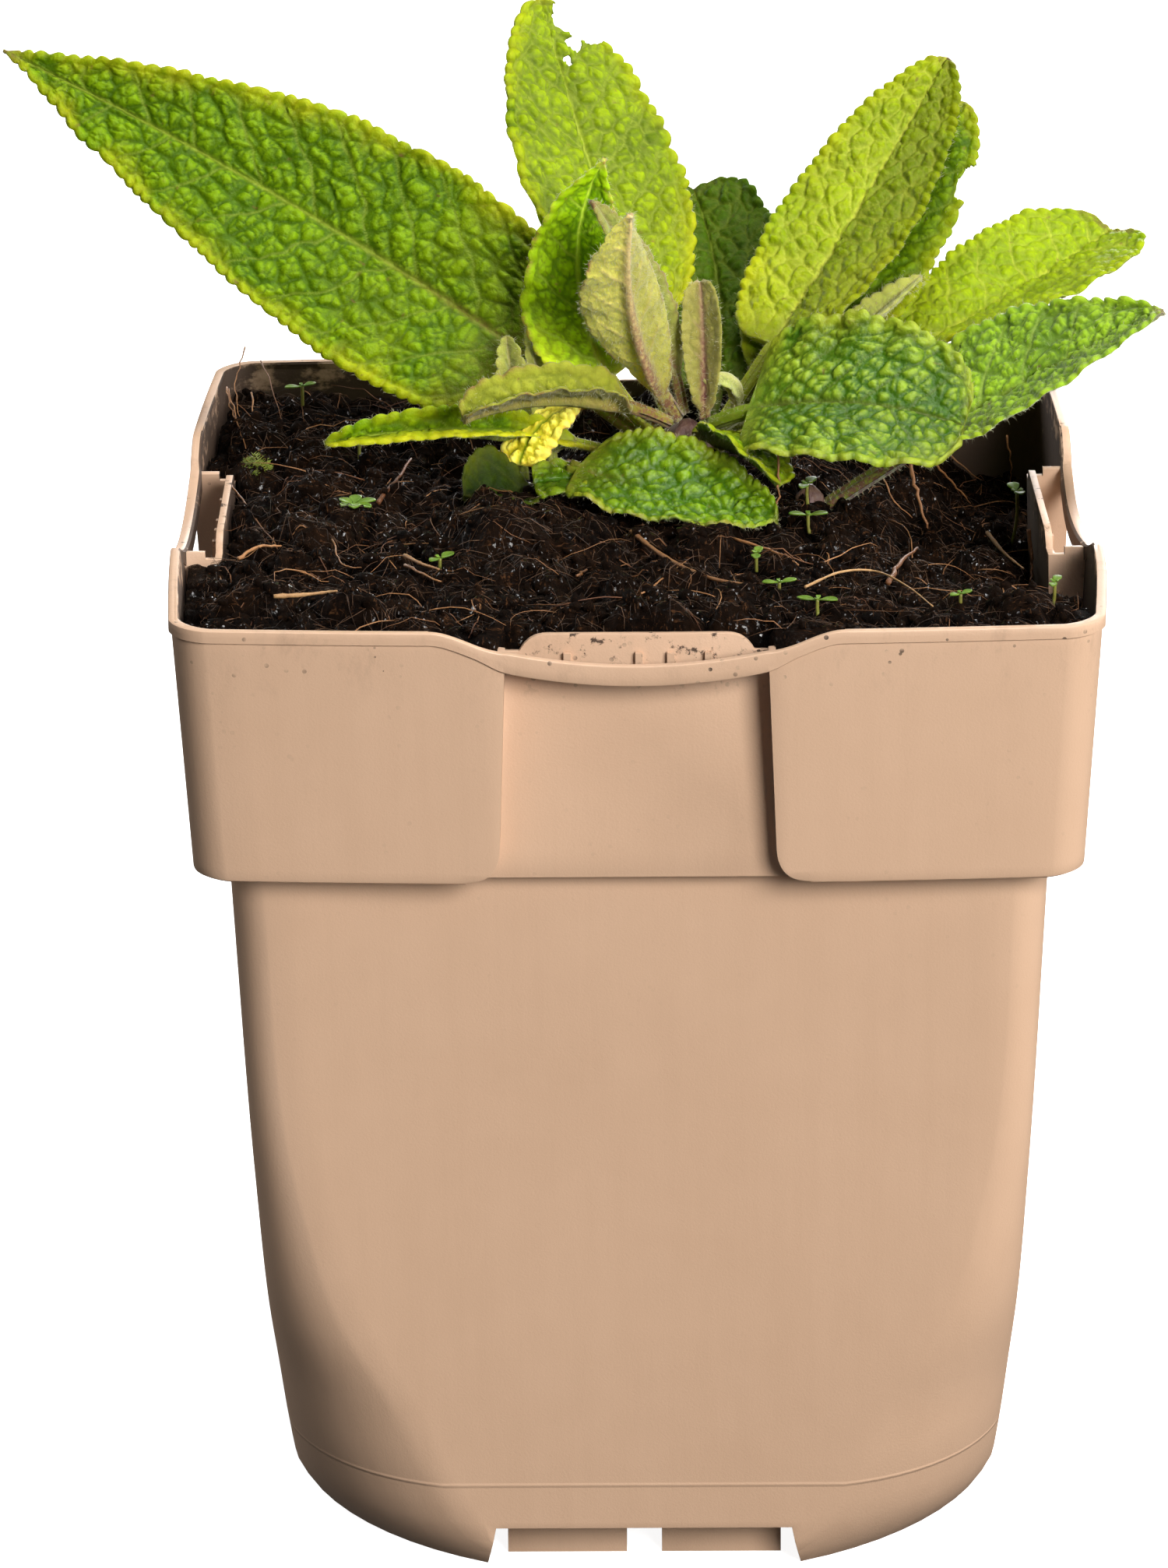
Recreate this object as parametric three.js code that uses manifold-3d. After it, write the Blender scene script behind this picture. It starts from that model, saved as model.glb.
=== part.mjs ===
// A young mullein plant in a square taupe nursery pot.
// Millimetres, +Z up, the pot's axis is Z and the origin is on the surface that the pot stands on.
import * as THREE from "three";
import { mergeVertices } from "three/addons/utils/BufferGeometryUtils.js";
import Module from "manifold-3d";

const wasm = await Module();
wasm.setup();

// ---------- Driving dimensions ----------
const RIM_Z = 146; // top of the rim at the corners
const COLLAR_Z = 109; // underside of the deep collar
const FLOOR_Z = 7; // underside of the pot's raised floor
const FLOOR = 1.2; // thickness of the floor
const WALL = 1; // thickness of the moulded wall
const GAP = 0.3; // clearance between touching pieces
const WELD = 0.3; // how far a joined shape reaches into the body it joins
const OUTSIDE = 75; // a distance from the axis that is outside the whole pot, where cuts end

// Heights with the half-width across the flats and the half-width of the flat face between two corners.
const BODY = [
  { z: 0, half: 50, flat: 14 },
  { z: 5, half: 50.4, flat: 22 },
  { z: 14, half: 51.2, flat: 28.5 },
  { z: 26, half: 52.2, flat: 34 },
  { z: 38, half: 53, flat: 41 },
  { z: 60, half: 54.1, flat: 47.5 },
  { z: COLLAR_Z, half: 56.3, flat: 51.5 },
];
const COLLAR = [
  { z: COLLAR_Z, half: 60.9, flat: 56, bulge: 2 },
  { z: RIM_Z, half: 63, flat: 58, bulge: 2 },
];
const CORNER_SLACK = 0.35; // how far the corner curve flattens, which leaves a soft crease beside the flat

// The wall of the label bay: back, plane and front are distances of its faces from the pot's axis.
const PANEL = {
  back: 56,
  plane: 59.3,
  front: 60.6,
  top: 144,
  halfTop: 17.4,
  halfFoot: 19,
  flare: 4.5,
  backHalf: 14.7,
};
const LIP = { inner: 63.2, outer: 64.8, top: 141.2, topAtEnds: 143, bottom: 138.8 };
const RIM_DIP = 28; // half-length of the stretch where the rim swings down towards the lip
const PANEL_RIBS = [-9.4, 0.3, 4.6, 9.7];
const RIB = { width: 1, depth: 0.8, foot: 137.2, top: 141.5 };
const FOOT_NOTCH = { halfTop: 21, halfFoot: 22.5, height: 7, inner: 46, outer: 60 };
const FOOT = { width: 17, depth: 3, setBack: 6.5, gap: 5 };
const CENTRE_FOOT_RADIUS = 9;
const DRAIN = { radius: 4, ring: 30, count: 8 };

// The right wall is pulled in a little towards the rear, as a thin wall gives under a full pot of roots.
const GIVE = { depth: 2.4, fromZ: 60, fromY: -40 };

const CROWN = { x: 7, y: 17, radius: 4.2, foot: 128, top: 150.6 };
const SIDE_SHOOT = { x: -10, y: 8.5, radius: 2.2, foot: 130, top: 147.3 };
const RIGHT_SHOOT = { x: 24.5, y: 8, radius: 2.2, foot: 128, top: 143.6 };

// ---------- Meshes and solids ----------
const radians = THREE.MathUtils.degToRad;
const smooth = (x, a, b) => THREE.MathUtils.smoothstep(x, a, b);

function solidFrom(geometry) {
  const bare = new THREE.BufferGeometry();
  bare.setAttribute("position", geometry.getAttribute("position"));
  if (geometry.index) bare.setIndex(geometry.index);
  const merged = mergeVertices(bare, 1e-4);
  const vertProperties = merged.attributes.position.array;
  const triVerts = new Uint32Array(merged.index.array);
  return new wasm.Manifold(new wasm.Mesh({ numProp: 3, vertProperties, triVerts }));
}

function geometryFrom(solid) {
  const mesh = solid.getMesh();
  const geometry = new THREE.BufferGeometry();
  geometry.setAttribute("position", new THREE.BufferAttribute(mesh.vertProperties, 3));
  geometry.setIndex(new THREE.BufferAttribute(mesh.triVerts, 1));
  return geometry;
}

// A closed skin through rings with the same number of points, with a fan over each end.
function loft(rings) {
  const count = rings[0].length;
  const points = rings.flat();
  const faces = [];
  for (let r = 0; r + 1 < rings.length; r++)
    for (let i = 0; i < count; i++) {
      const a = r * count + i;
      const b = r * count + ((i + 1) % count);
      faces.push(a, b, a + count, b, b + count, a + count);
    }
  for (const [ring, turn] of [
    [0, 1],
    [rings.length - 1, 0],
  ]) {
    const middle = points.length;
    const sum = rings[ring].reduce((s, p) => s.add(p), new THREE.Vector3());
    points.push(sum.divideScalar(count));
    for (let i = 0; i < count; i++) {
      const a = ring * count + i;
      const b = ring * count + ((i + 1) % count);
      faces.push(...(turn ? [b, a, middle] : [a, b, middle]));
    }
  }
  const geometry = new THREE.BufferGeometry().setFromPoints(points);
  return geometry.setIndex(faces);
}

function slab(shape, depth, place) {
  const geometry = new THREE.ExtrudeGeometry(shape, { depth, bevelEnabled: false, curveSegments: 6 });
  return solidFrom(geometry.applyMatrix4(place));
}

const union = (solids) => solids.reduce((whole, s) => whole.add(s));

// The four sides of the pot, each as a quarter turn about the axis.
const QUARTERS = [0, 1, 2, 3].map((n) => new THREE.Matrix4().makeRotationZ((n * Math.PI) / 2));

// A shape drawn as (along the side, height) becomes a slab between two distances from the axis, on side n.
function sideSlab(shape, near, far, n) {
  const stand = new THREE.Matrix4().makeRotationX(Math.PI / 2);
  const out = new THREE.Matrix4().makeTranslation(0, -near, 0);
  return slab(shape, far - near, QUARTERS[n].clone().multiply(out).multiply(stand));
}

const onAllSides = (shape, near, far) => union(QUARTERS.map((_, n) => sideSlab(shape, near, far, n)));

// ---------- Pot ----------
// One level of the pot: flats that bulge a little, joined by corner curves that meet them at a soft crease.
function potRing({ z, half, flat, bulge = 0 }, inset = 0) {
  const side = half - inset;
  const edge = flat - inset * 0.6;
  const centre = edge - CORNER_SLACK * (side - edge);
  const reach = Math.hypot(edge - centre, side - centre);
  const start = Math.atan2(edge - centre, side - centre);
  const quarter = [];
  for (let i = 0; i < 6; i++) {
    const y = -edge + (2 * edge * i) / 6;
    quarter.push([side + bulge * (1 - (y / edge) ** 2), y]);
  }
  for (let i = 0; i < 6; i++) {
    const angle = start + ((Math.PI / 2 - 2 * start) * i) / 6;
    quarter.push([centre + reach * Math.cos(angle), centre + reach * Math.sin(angle)]);
  }
  return QUARTERS.flatMap((turn) =>
    quarter.map(([x, y]) => new THREE.Vector3(x, y, z).applyMatrix4(turn)),
  );
}

// The level of a profile at height z, between its two neighbouring stations.
function levelAt(profile, z) {
  const above = profile.find((s, i) => i > 0 && s.z >= z) ?? profile.at(-1);
  const below = profile[profile.indexOf(above) - 1];
  const t = (z - below.z) / (above.z - below.z);
  const mix = (name) => THREE.MathUtils.lerp(below[name] ?? 0, above[name] ?? 0, t);
  return { z, half: mix("half"), flat: mix("flat"), bulge: mix("bulge") };
}

const potSkin = (levels, inset) => solidFrom(loft(levels.map((level) => potRing(level, inset))));

function potOutside() {
  return potSkin(BODY, 0).add(potSkin(COLLAR, 0));
}

// The space inside the walls, above the floor, shrunk by an extra clearance for what fills it.
function potInside(clearance) {
  const inset = WALL + clearance;
  const floor = FLOOR_Z + FLOOR + clearance;
  const body = [levelAt(BODY, floor), ...BODY.filter((s) => s.z > floor)];
  body.push({ ...BODY.at(-1), z: COLLAR_Z + inset + 1 });
  const collar = [levelAt(COLLAR, COLLAR_Z + inset), { ...COLLAR[1], z: RIM_Z + 4 }];
  const space = potSkin(body, inset).add(potSkin(collar, inset));
  return space.subtract(onAllSides(labelBay(inset), PANEL.plane - inset, OUTSIDE));
}

// The bay for a label in the middle of each collar side, with flared lower corners.
function labelBay(grow) {
  const { halfTop, halfFoot, flare } = PANEL;
  const foot = COLLAR_Z - 1;
  const spread = halfFoot + flare + grow;
  const shape = new THREE.Shape();
  shape.moveTo(-spread, foot);
  shape.lineTo(spread, foot);
  shape.lineTo(spread, COLLAR_Z + 0.4);
  shape.quadraticCurveTo(halfFoot + grow, COLLAR_Z + 0.4, halfFoot + grow - 0.2, COLLAR_Z + flare + 0.8);
  shape.lineTo(halfTop + grow, RIM_Z + 6);
  shape.lineTo(-halfTop - grow, RIM_Z + 6);
  shape.lineTo(-halfFoot - grow + 0.2, COLLAR_Z + flare + 0.8);
  shape.quadraticCurveTo(-halfFoot - grow, COLLAR_Z + 0.4, -spread, COLLAR_Z + 0.4);
  return shape;
}

// What the rim loses in the middle of each side: a swing down from both corners into a shallow arc.
function rimDip() {
  const shape = new THREE.Shape();
  shape.moveTo(-RIM_DIP, RIM_Z + 5);
  shape.lineTo(-RIM_DIP, RIM_Z);
  shape.bezierCurveTo(-22, RIM_Z, -21, LIP.topAtEnds, -PANEL.halfTop, LIP.topAtEnds);
  shape.quadraticCurveTo(0, 2 * LIP.top - LIP.topAtEnds, PANEL.halfTop, LIP.topAtEnds);
  shape.bezierCurveTo(21, LIP.topAtEnds, 22, RIM_Z, RIM_DIP, RIM_Z);
  shape.lineTo(RIM_DIP, RIM_Z + 5);
  return shape;
}

// The arched strap that bridges the mouth of the bay, flush with the collar.
function lipStrap() {
  const end = PANEL.halfTop + 1.2;
  const shape = new THREE.Shape();
  shape.moveTo(-end, LIP.topAtEnds);
  shape.quadraticCurveTo(0, 2 * LIP.top - LIP.topAtEnds, end, LIP.topAtEnds);
  shape.lineTo(end, LIP.bottom + 2.6);
  shape.quadraticCurveTo(0, LIP.bottom - 2.4, -end, LIP.bottom + 2.6);
  return shape;
}

// The straight-topped label plate behind the strap, with rounded upper corners.
function plateTrim() {
  const { backHalf, top, halfTop } = PANEL;
  const shape = new THREE.Shape();
  shape.moveTo(-halfTop - 1.5, top + 6);
  shape.lineTo(-halfTop - 1.5, top - 2.4);
  shape.lineTo(-backHalf - 1.2, top - 2.4);
  shape.quadraticCurveTo(-backHalf, top, -backHalf + 2.6, top);
  shape.lineTo(backHalf - 2.6, top);
  shape.quadraticCurveTo(backHalf, top, backHalf + 1.2, top - 2.4);
  shape.lineTo(halfTop + 1.5, top - 2.4);
  shape.lineTo(halfTop + 1.5, top + 6);
  return shape;
}

function footNotch() {
  const shape = new THREE.Shape();
  shape.moveTo(-FOOT_NOTCH.halfFoot, -1);
  shape.lineTo(FOOT_NOTCH.halfFoot, -1);
  shape.lineTo(FOOT_NOTCH.halfTop, FOOT_NOTCH.height);
  shape.lineTo(-FOOT_NOTCH.halfTop, FOOT_NOTCH.height);
  return shape;
}

function box(x0, x1, z0, z1) {
  const shape = new THREE.Shape();
  shape.moveTo(x0, z0);
  shape.lineTo(x1, z0);
  shape.lineTo(x1, z1);
  shape.lineTo(x0, z1);
  return shape;
}

// Two feet behind each notch and one round pad in the middle, all as deep as the skirt.
function feet() {
  const near = BODY[0].half - FOOT.setBack - FOOT.depth;
  const reach = FLOOR_Z + FLOOR / 2;
  const starts = [FOOT.gap / 2, -FOOT.gap / 2 - FOOT.width];
  const pads = starts.map((x) => onAllSides(box(x, x + FOOT.width, 0, reach), near, near + FOOT.depth));
  const middle = new THREE.CylinderGeometry(CENTRE_FOOT_RADIUS, CENTRE_FOOT_RADIUS, reach, 32);
  middle.rotateX(Math.PI / 2).translate(0, 0, reach / 2);
  return union([...pads, solidFrom(middle)]);
}

function drainHoles() {
  const holes = [];
  for (let i = 0; i < DRAIN.count; i++) {
    const angle = ((i + 0.5) * 2 * Math.PI) / DRAIN.count;
    const hole = new THREE.CylinderGeometry(DRAIN.radius, DRAIN.radius, 4 * FLOOR, 12);
    hole.rotateX(Math.PI / 2);
    hole.translate(DRAIN.ring * Math.cos(angle), DRAIN.ring * Math.sin(angle), FLOOR_Z + FLOOR / 2);
    holes.push(solidFrom(hole));
  }
  return union(holes);
}

// Pushes the right wall in towards the rear. It is worked on every vertex, so what fills the pot follows.
function giveWay(solid) {
  return solid.warp((v) => {
    const share = smooth(v[0], 20, 62) * smooth(v[1], GIVE.fromY, 10) * smooth(v[2], GIVE.fromZ, RIM_Z);
    v[0] -= GIVE.depth * share;
  });
}

function makePot() {
  const underside = BODY.filter((s) => s.z < FLOOR_Z);
  const hollow = potSkin([{ ...BODY[0], z: -1 }, ...underside, levelAt(BODY, FLOOR_Z)], WALL + 0.2);
  let pot = potOutside().subtract(potInside(0)).subtract(hollow);
  pot = pot.subtract(onAllSides(labelBay(0), PANEL.plane, OUTSIDE));
  pot = pot.subtract(onAllSides(rimDip(), PANEL.front, OUTSIDE));
  pot = pot.subtract(onAllSides(plateTrim(), PANEL.back, PANEL.front));
  pot = pot.add(onAllSides(lipStrap(), LIP.inner, LIP.outer));
  const ribs = PANEL_RIBS.map((x) => {
    const outline = box(x - RIB.width / 2, x + RIB.width / 2, RIB.foot, RIB.top);
    return onAllSides(outline, PANEL.plane - WELD, PANEL.plane + RIB.depth);
  });
  pot = pot.add(union(ribs)).subtract(onAllSides(footNotch(), FOOT_NOTCH.inner, FOOT_NOTCH.outer));
  pot = pot.add(feet()).subtract(drainHoles());
  return giveWay(pot);
}

// ---------- Soil ----------
// Height of the soil: level with the front rim, lower towards the right and the rear right, with a hollow
// behind the left leaves and a heap in the rear left corner, and small clods all over.
function soilHeight(x, y) {
  let z = 141.6 + 3 * smooth(-y, 25, 60);
  z -= 9.5 * smooth(x, 22, 55) * smooth(y, -52, 0);
  z -= 4 * smooth(x, 30, 60) * smooth(y, 10, 50);
  z -= 4.5 * Math.exp(-(((x + 22) / 20) ** 2 + ((y - 40) / 16) ** 2));
  z += 1.5 * Math.exp(-(((x + 52) / 10) ** 2 + ((y - 50) / 12) ** 2));
  z += 2.2 * Math.exp(-(((x - CROWN.x) / 12) ** 2 + ((y - CROWN.y) / 12) ** 2));
  return z + 0.7 * Math.sin(x / 3.1 + 1.3 * Math.sin(y / 4.3)) * Math.sin(y / 3.7 + 0.8 * Math.cos(x / 5.1));
}

const SOIL_CELLS = 15;
const SOIL_REACH = 70;

// A block with the soil's rough top and a flat foot, to be cut to the inside of the pot.
function soilBlock() {
  const geometry = new THREE.BoxGeometry(2 * SOIL_REACH, 2 * SOIL_REACH, 200, SOIL_CELLS, SOIL_CELLS, 1);
  const position = geometry.getAttribute("position");
  for (let i = 0; i < position.count; i++) {
    const top = position.getZ(i) > 0;
    position.setZ(i, top ? soilHeight(position.getX(i), position.getY(i)) : 0);
  }
  return solidFrom(geometry);
}

// ---------- Plant ----------
// A short upright stock, rounded over at the top, that stands in the soil and carries the leaves.
function stock({ x, y, radius, foot, top }, grow = 0) {
  const r = radius + grow;
  const crown = top + grow;
  const profile = [
    new THREE.Vector2(0, foot - grow),
    new THREE.Vector2(r * 0.7, foot - grow),
    new THREE.Vector2(r, foot + radius),
    new THREE.Vector2(r, crown - radius * 1.1),
    new THREE.Vector2(r * 0.75, crown - radius * 0.35),
    new THREE.Vector2(0, crown),
  ];
  const geometry = new THREE.LatheGeometry(profile, 16);
  return solidFrom(geometry.rotateX(Math.PI / 2).translate(x, y, 0));
}

// Unit half-width of a blade at fraction t of its length, greatest at t = broadest.
function bladeWidth(t, broadest, fullness) {
  if (t <= 0 || t >= 1) return 0;
  const rise = (t / broadest) ** (broadest * fullness);
  const fall = ((1 - t) / (1 - broadest)) ** ((1 - broadest) * fullness);
  return rise * fall;
}

// Place of a point on a leaf's cross-section: v is 0 at the midrib and 1 at the margin, cup tips the
// half-blade up and curl rolls it further, both in degrees.
function acrossBlade(v, cup, curl) {
  const tilt = radians(cup);
  const roll = radians(curl);
  if (Math.abs(roll) < 1e-4) return [v * Math.cos(tilt), v * Math.sin(tilt)];
  const side = (Math.sin(tilt + roll * v) - Math.sin(tilt)) / roll;
  const lift = -(Math.cos(tilt + roll * v) - Math.cos(tilt)) / roll;
  return [side, lift];
}

// Thickness of a leaf at the midrib, at the margin and in its stalk.
const LEAF = { rib: 1.5, margin: 0.7, stalk: 2.2, tip: 0.8 };

// A leaf is a stalk and a blade along one arched line. It starts at a point, points along a heading
// (degrees from +X towards +Y) that swings along the way, and rises at an angle that droops along the
// way (a negative droop curves up). roll tips it about its own midrib and twist adds to that towards the
// tip. cup and curl are given for the left and the right half, seen from the stalk.
function leafSolid(leaf, grow = 0) {
  const { at, heading, swing = 0, rise, droop = 0, stalk, blade, width, roll = 0, twist = 0 } = leaf;
  const { cup = [12, 12], curl = [-8, -8], broadest, fullness, across = 2 } = leaf;
  const length = stalk + blade;
  const stations = leaf.steps ?? (across > 1 ? 13 : 9);
  const rings = [];
  const point = new THREE.Vector3(...at);
  const aim = (s) => {
    const h = radians(heading + swing * s);
    const a = radians(rise - droop * s);
    return new THREE.Vector3(Math.cos(a) * Math.cos(h), Math.cos(a) * Math.sin(h), Math.sin(a));
  };
  for (let i = 0; i <= stations; i++) {
    const s = i / stations;
    if (i > 0) point.addScaledVector(aim(s - 0.5 / stations), length / stations);
    const h = radians(heading + swing * s);
    const along = aim(s);
    const left = new THREE.Vector3(-Math.sin(h), Math.cos(h), 0);
    const up = along.clone().cross(left);
    const turn = radians(roll + twist * s);
    const side = left.clone().multiplyScalar(Math.cos(turn)).addScaledVector(up, Math.sin(turn));
    const face = up.clone().multiplyScalar(Math.cos(turn)).addScaledVector(left, -Math.sin(turn));
    const t = (s * length - stalk) / blade;
    const half = Math.max((width / 2) * bladeWidth(t, broadest, fullness), LEAF.tip) + grow;
    const open = smooth(t, -0.05, 0.15);
    const middle = THREE.MathUtils.lerp(LEAF.stalk, LEAF.rib, open) * (t > 0.85 ? 0.7 : 1);
    const top = [];
    const under = [];
    for (let k = -across; k <= across; k++) {
      const v = k / across;
      const n = v >= 0 ? 0 : 1;
      const [x, z] = acrossBlade(Math.abs(v), cup[n] * open, curl[n] * open);
      const thick = THREE.MathUtils.lerp(middle, LEAF.margin, Math.abs(v)) / 2 + grow;
      const base = point.clone().addScaledVector(side, Math.sign(v) * x * half);
      base.addScaledVector(face, z * half);
      top.push(base.clone().addScaledVector(face, thick));
      under.push(base.clone().addScaledVector(face, -thick));
    }
    rings.push([...top, ...under.reverse()]);
  }
  if (grow > 0) {
    const back = aim(0).multiplyScalar(-grow);
    rings[0].forEach((p) => p.add(back));
    rings.at(-1).forEach((p) => p.addScaledVector(aim(1), grow));
  }
  const solid = solidFrom(loft(rings));
  return solid.volume() < 0 ? solidFrom(loft(rings.map((ring) => ring.reverse()))) : solid;
}

const LEAVES = {
  leaf_long_left: {
    at: [2, 21, 145.6], heading: 161, swing: 3, rise: 33, droop: 11, stalk: 22, blade: 90, width: 34,
    roll: -56, twist: -3, cup: [9, 11], broadest: 0.25, fullness: 1.3, steps: 17, tint: 0x5f9a2c,
  },
  leaf_tall_centre: {
    at: [5.5, 21.5, 146], heading: 114, swing: -3, rise: 47, droop: 4, stalk: 17.5, blade: 58, width: 28.5,
    roll: 7, twist: 7, cup: [14, 12], broadest: 0.46, fullness: 1.3, tint: 0x8cba3c,
  },
  leaf_pointed_centre: {
    at: [2.5, 18, 148.4], heading: 142, swing: -13, rise: 24, droop: -107, stalk: 11, blade: 35.5,
    width: 19, roll: -24, cup: [10, 43], broadest: 0.32, fullness: 1.4, tint: 0x5c8a33,
  },
  leaf_folded_young: {
    at: [5.5, 17, 151], heading: 222.2, swing: 62.6, rise: 53.9, droop: -8.1, stalk: 5, blade: 37.5,
    width: 13.6, roll: 16, twist: 12, cup: [22, 4], curl: [40, 16], broadest: 0.5, fullness: 1.5,
    tint: 0x9aa05a,
  },
  leaf_narrow_young: {
    at: [6.5, 19.5, 150.8], heading: 202.7, swing: 4.7, rise: 80.1, droop: 26.1, roll: -65, stalk: 6,
    blade: 30.7, width: 7.5, cup: [13, 13], broadest: 0.4, fullness: 1.2, across: 1, tint: 0x7d6f3c,
  },
  leaf_cut_young: {
    at: [9.5, 16, 151], heading: 90, swing: 7, rise: 83, droop: 26, curl: [34, 28], stalk: 1,
    blade: 19, width: 7.6, roll: -11, twist: -6, cup: [25, 20], broadest: 0.6, fullness: 0.85,
    across: 1, tint: 0x7c8f33,
  },
  leaf_rear_shaded: {
    at: [9, 22, 145], heading: 76, swing: 30, rise: 24, stalk: 12.5, blade: 46, width: 21,
    cup: [12, 22], curl: [-8, -5], broadest: 0.51, fullness: 0.5, tint: 0x35571f,
  },
  leaf_upright_right: {
    at: [11, 20, 147.5], heading: 54, swing: 1, rise: 33, droop: -5, stalk: 17.5, blade: 56.5, width: 22.5,
    roll: -5, twist: 37, cup: [1, 22], curl: [-10, -8], broadest: 0.33, fullness: 0.9, tint: 0x9cc03a,
  },
  leaf_bitten_right: {
    at: [10, 21.5, 143.5], heading: 48, swing: 3, rise: 32, droop: -5, stalk: 15.5, blade: 56.5, width: 22.5,
    roll: 17, twist: 3, cup: [12, 10], broadest: 0.42, fullness: 1, tint: 0x74983a,
  },
  leaf_woolly_right: {
    at: [11.5, 18.5, 148.5], heading: 36, swing: 3, rise: 20, droop: -7, stalk: 10.5, blade: 30.5, width: 6.5,
    roll: 7, twist: 6, cup: [40, 38], broadest: 0.41, fullness: 0.9, across: 1, tint: 0x9fae84,
  },
  leaf_spreading_upper: {
    at: [11.5, 18.5, 146.5], heading: 29, swing: 26, rise: 14, droop: 5, stalk: 31.5, blade: 50.5,
    width: 24.5, roll: -7, twist: 19, cup: [16, 20], curl: [-6, -5], broadest: 0.6, fullness: 0.85,
    tint: 0x93b83c,
  },
  leaf_spreading_lower: {
    at: [27, 8, 140.5], heading: 9, rise: 32, droop: 7, stalk: 14, blade: 41.5, width: 26,
    roll: 18, twist: 3, cup: [19, 27], curl: [-5, -4], broadest: 0.35, fullness: 1.2, tint: 0x63a32f,
  },
  leaf_blistered_front: {
    at: [10, 14.5, 150.5], heading: -34, swing: 33, rise: 30, droop: 51, stalk: 8, blade: 32, width: 28,
    roll: 28, twist: 15, cup: [14, 18], curl: [-4, -2], broadest: 0.4, fullness: 0.5, tint: 0x6d8f3a,
  },
  leaf_glossy_front: {
    at: [-9.8, 6.4, 147], heading: -26, swing: 10, rise: -11, droop: -5, stalk: 1.5, blade: 30.5,
    width: 20, roll: 22, cup: [9, 9], curl: [13, 22], broadest: 0.36, fullness: 0.8, tint: 0x4f9a2c,
  },
  leaf_small_front: {
    at: [8.5, 12.5, 150], heading: -48, swing: -3, rise: 14, droop: 50, stalk: 2, blade: 17, width: 12,
    roll: -21, broadest: 0.5, fullness: 0.9, across: 1, tint: 0x5d8c33,
  },
  leaf_arched_left: {
    at: [4.5, 12.5, 151.6], heading: 200, rise: 32, droop: 50, stalk: 7, blade: 25.5, width: 10,
    roll: -13, twist: -12, cup: [52, 50], broadest: 0.49, fullness: 0.5, across: 1, tint: 0x93a83c,
  },
  leaf_low_left: {
    at: [2, 17, 143.8], heading: 187, swing: 4, rise: 23, droop: 32, stalk: 11.5, blade: 37, width: 7.5,
    roll: -23, twist: -37, cup: [47, 48], broadest: 0.49, fullness: 1, across: 1, tint: 0x6f9c2c,
  },
  leaf_yellowing_left: {
    at: [3, 14, 151], heading: 141.6, rise: 31.1, droop: 85.2, swing: 107.4, stalk: 12.4, blade: 14,
    width: 8.8, roll: 0, twist: 0, cup: [-10, -8], broadest: 0.6, fullness: 0.6, across: 1,
    tint: 0xc4b53a,
  },
  leaf_shaded_left: {
    at: [-13, 8, 142], heading: 209, swing: -5, rise: 9, stalk: 2.5, blade: 11, width: 16,
    roll: -18, cup: [28, 26], curl: [-5, -5], broadest: 0.49, fullness: 0.9, across: 1, tint: 0x33501d,
  },
  leaf_sprout_left: {
    at: [-16.5, 16.5, 141.8], heading: 112, swing: -3, rise: 70, stalk: 4, blade: 17, width: 6.5,
    roll: -11, cup: [39, 42], broadest: 0.4, fullness: 0.8, across: 1, tint: 0x7f9a4a,
  },
  leaf_sprout_right: {
    at: [-12, 16, 141.9], heading: 109, swing: 5, rise: 66, droop: 9, stalk: 4, blade: 19, width: 6.5,
    cup: [40, 40], broadest: 0.35, fullness: 0.9, across: 1, tint: 0x86a04e,
  },
  leaf_curled_tiny: {
    at: [11.5, 18.5, 149.5], heading: 30, rise: 10, droop: -200, stalk: 4, blade: 8, width: 3,
    cup: [30, 30], broadest: 0.5, fullness: 0.8, across: 1, tint: 0x8e8a5c,
  },
  leaf_lobed_left: {
    at: [-6.2, 5, 145.4], heading: 195, swing: -12, rise: 13, droop: 27, stalk: 1, blade: 8,
    width: 8.5, roll: -6, twist: -14, cup: [3, 7], broadest: 0.6, fullness: 0.6, across: 1,
    tint: 0x86a95c,
  },
};

// The leaves are laid in order, and each later one gives way where it would pass through an earlier one,
// through a stock or through the pot's wall.
function largest(solid) {
  return solid.decompose().sort((a, b) => b.volume() - a.volume())[0];
}

function makeLeaves(stocks) {
  const taken = [...stocks];
  const solids = {};
  for (const [name, leaf] of Object.entries(LEAVES)) {
    let solid = leafSolid(leaf);
    for (const other of taken) if (solid.intersect(other).volume() > 0) solid = solid.subtract(other);
    solids[name] = largest(solid);
    taken.push(leafSolid(leaf, GAP));
  }
  return solids;
}

// ---------- Weeds, moss and straws on the soil ----------
const ABOVE_SOIL = 0.9; // the small things stand clear of the clods by this much

function seedLeaf({ heading, rise, length, width, reach }, x, y, z) {
  const geometry = new THREE.SphereGeometry(1, 6, 4);
  geometry.scale(length / 2, width / 2, 0.35).translate(reach + length / 2 - 0.4, 0, 0);
  geometry.rotateY(-radians(rise)).rotateZ(radians(heading)).translate(x, y, z);
  return solidFrom(geometry);
}

// A seedling: a thin stem that carries small leaves all round, the first pair opposite each other.
function seedling({ x, y, height, leaves = 2, length = 3, turn = 0, rise = 20 }) {
  const foot = soilHeight(x, y) + ABOVE_SOIL;
  const stem = new THREE.CylinderGeometry(0.4, 0.4, height, 6);
  stem.rotateX(Math.PI / 2).translate(x, y, foot + height / 2);
  const parts = [solidFrom(stem)];
  for (let i = 0; i < leaves; i++) {
    const heading = turn + (360 * i) / leaves;
    const blade = { heading, rise, length, width: length * 0.55, reach: 0.2 };
    parts.push(seedLeaf(blade, x, y, foot + height - 0.2));
  }
  return union(parts);
}

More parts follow.
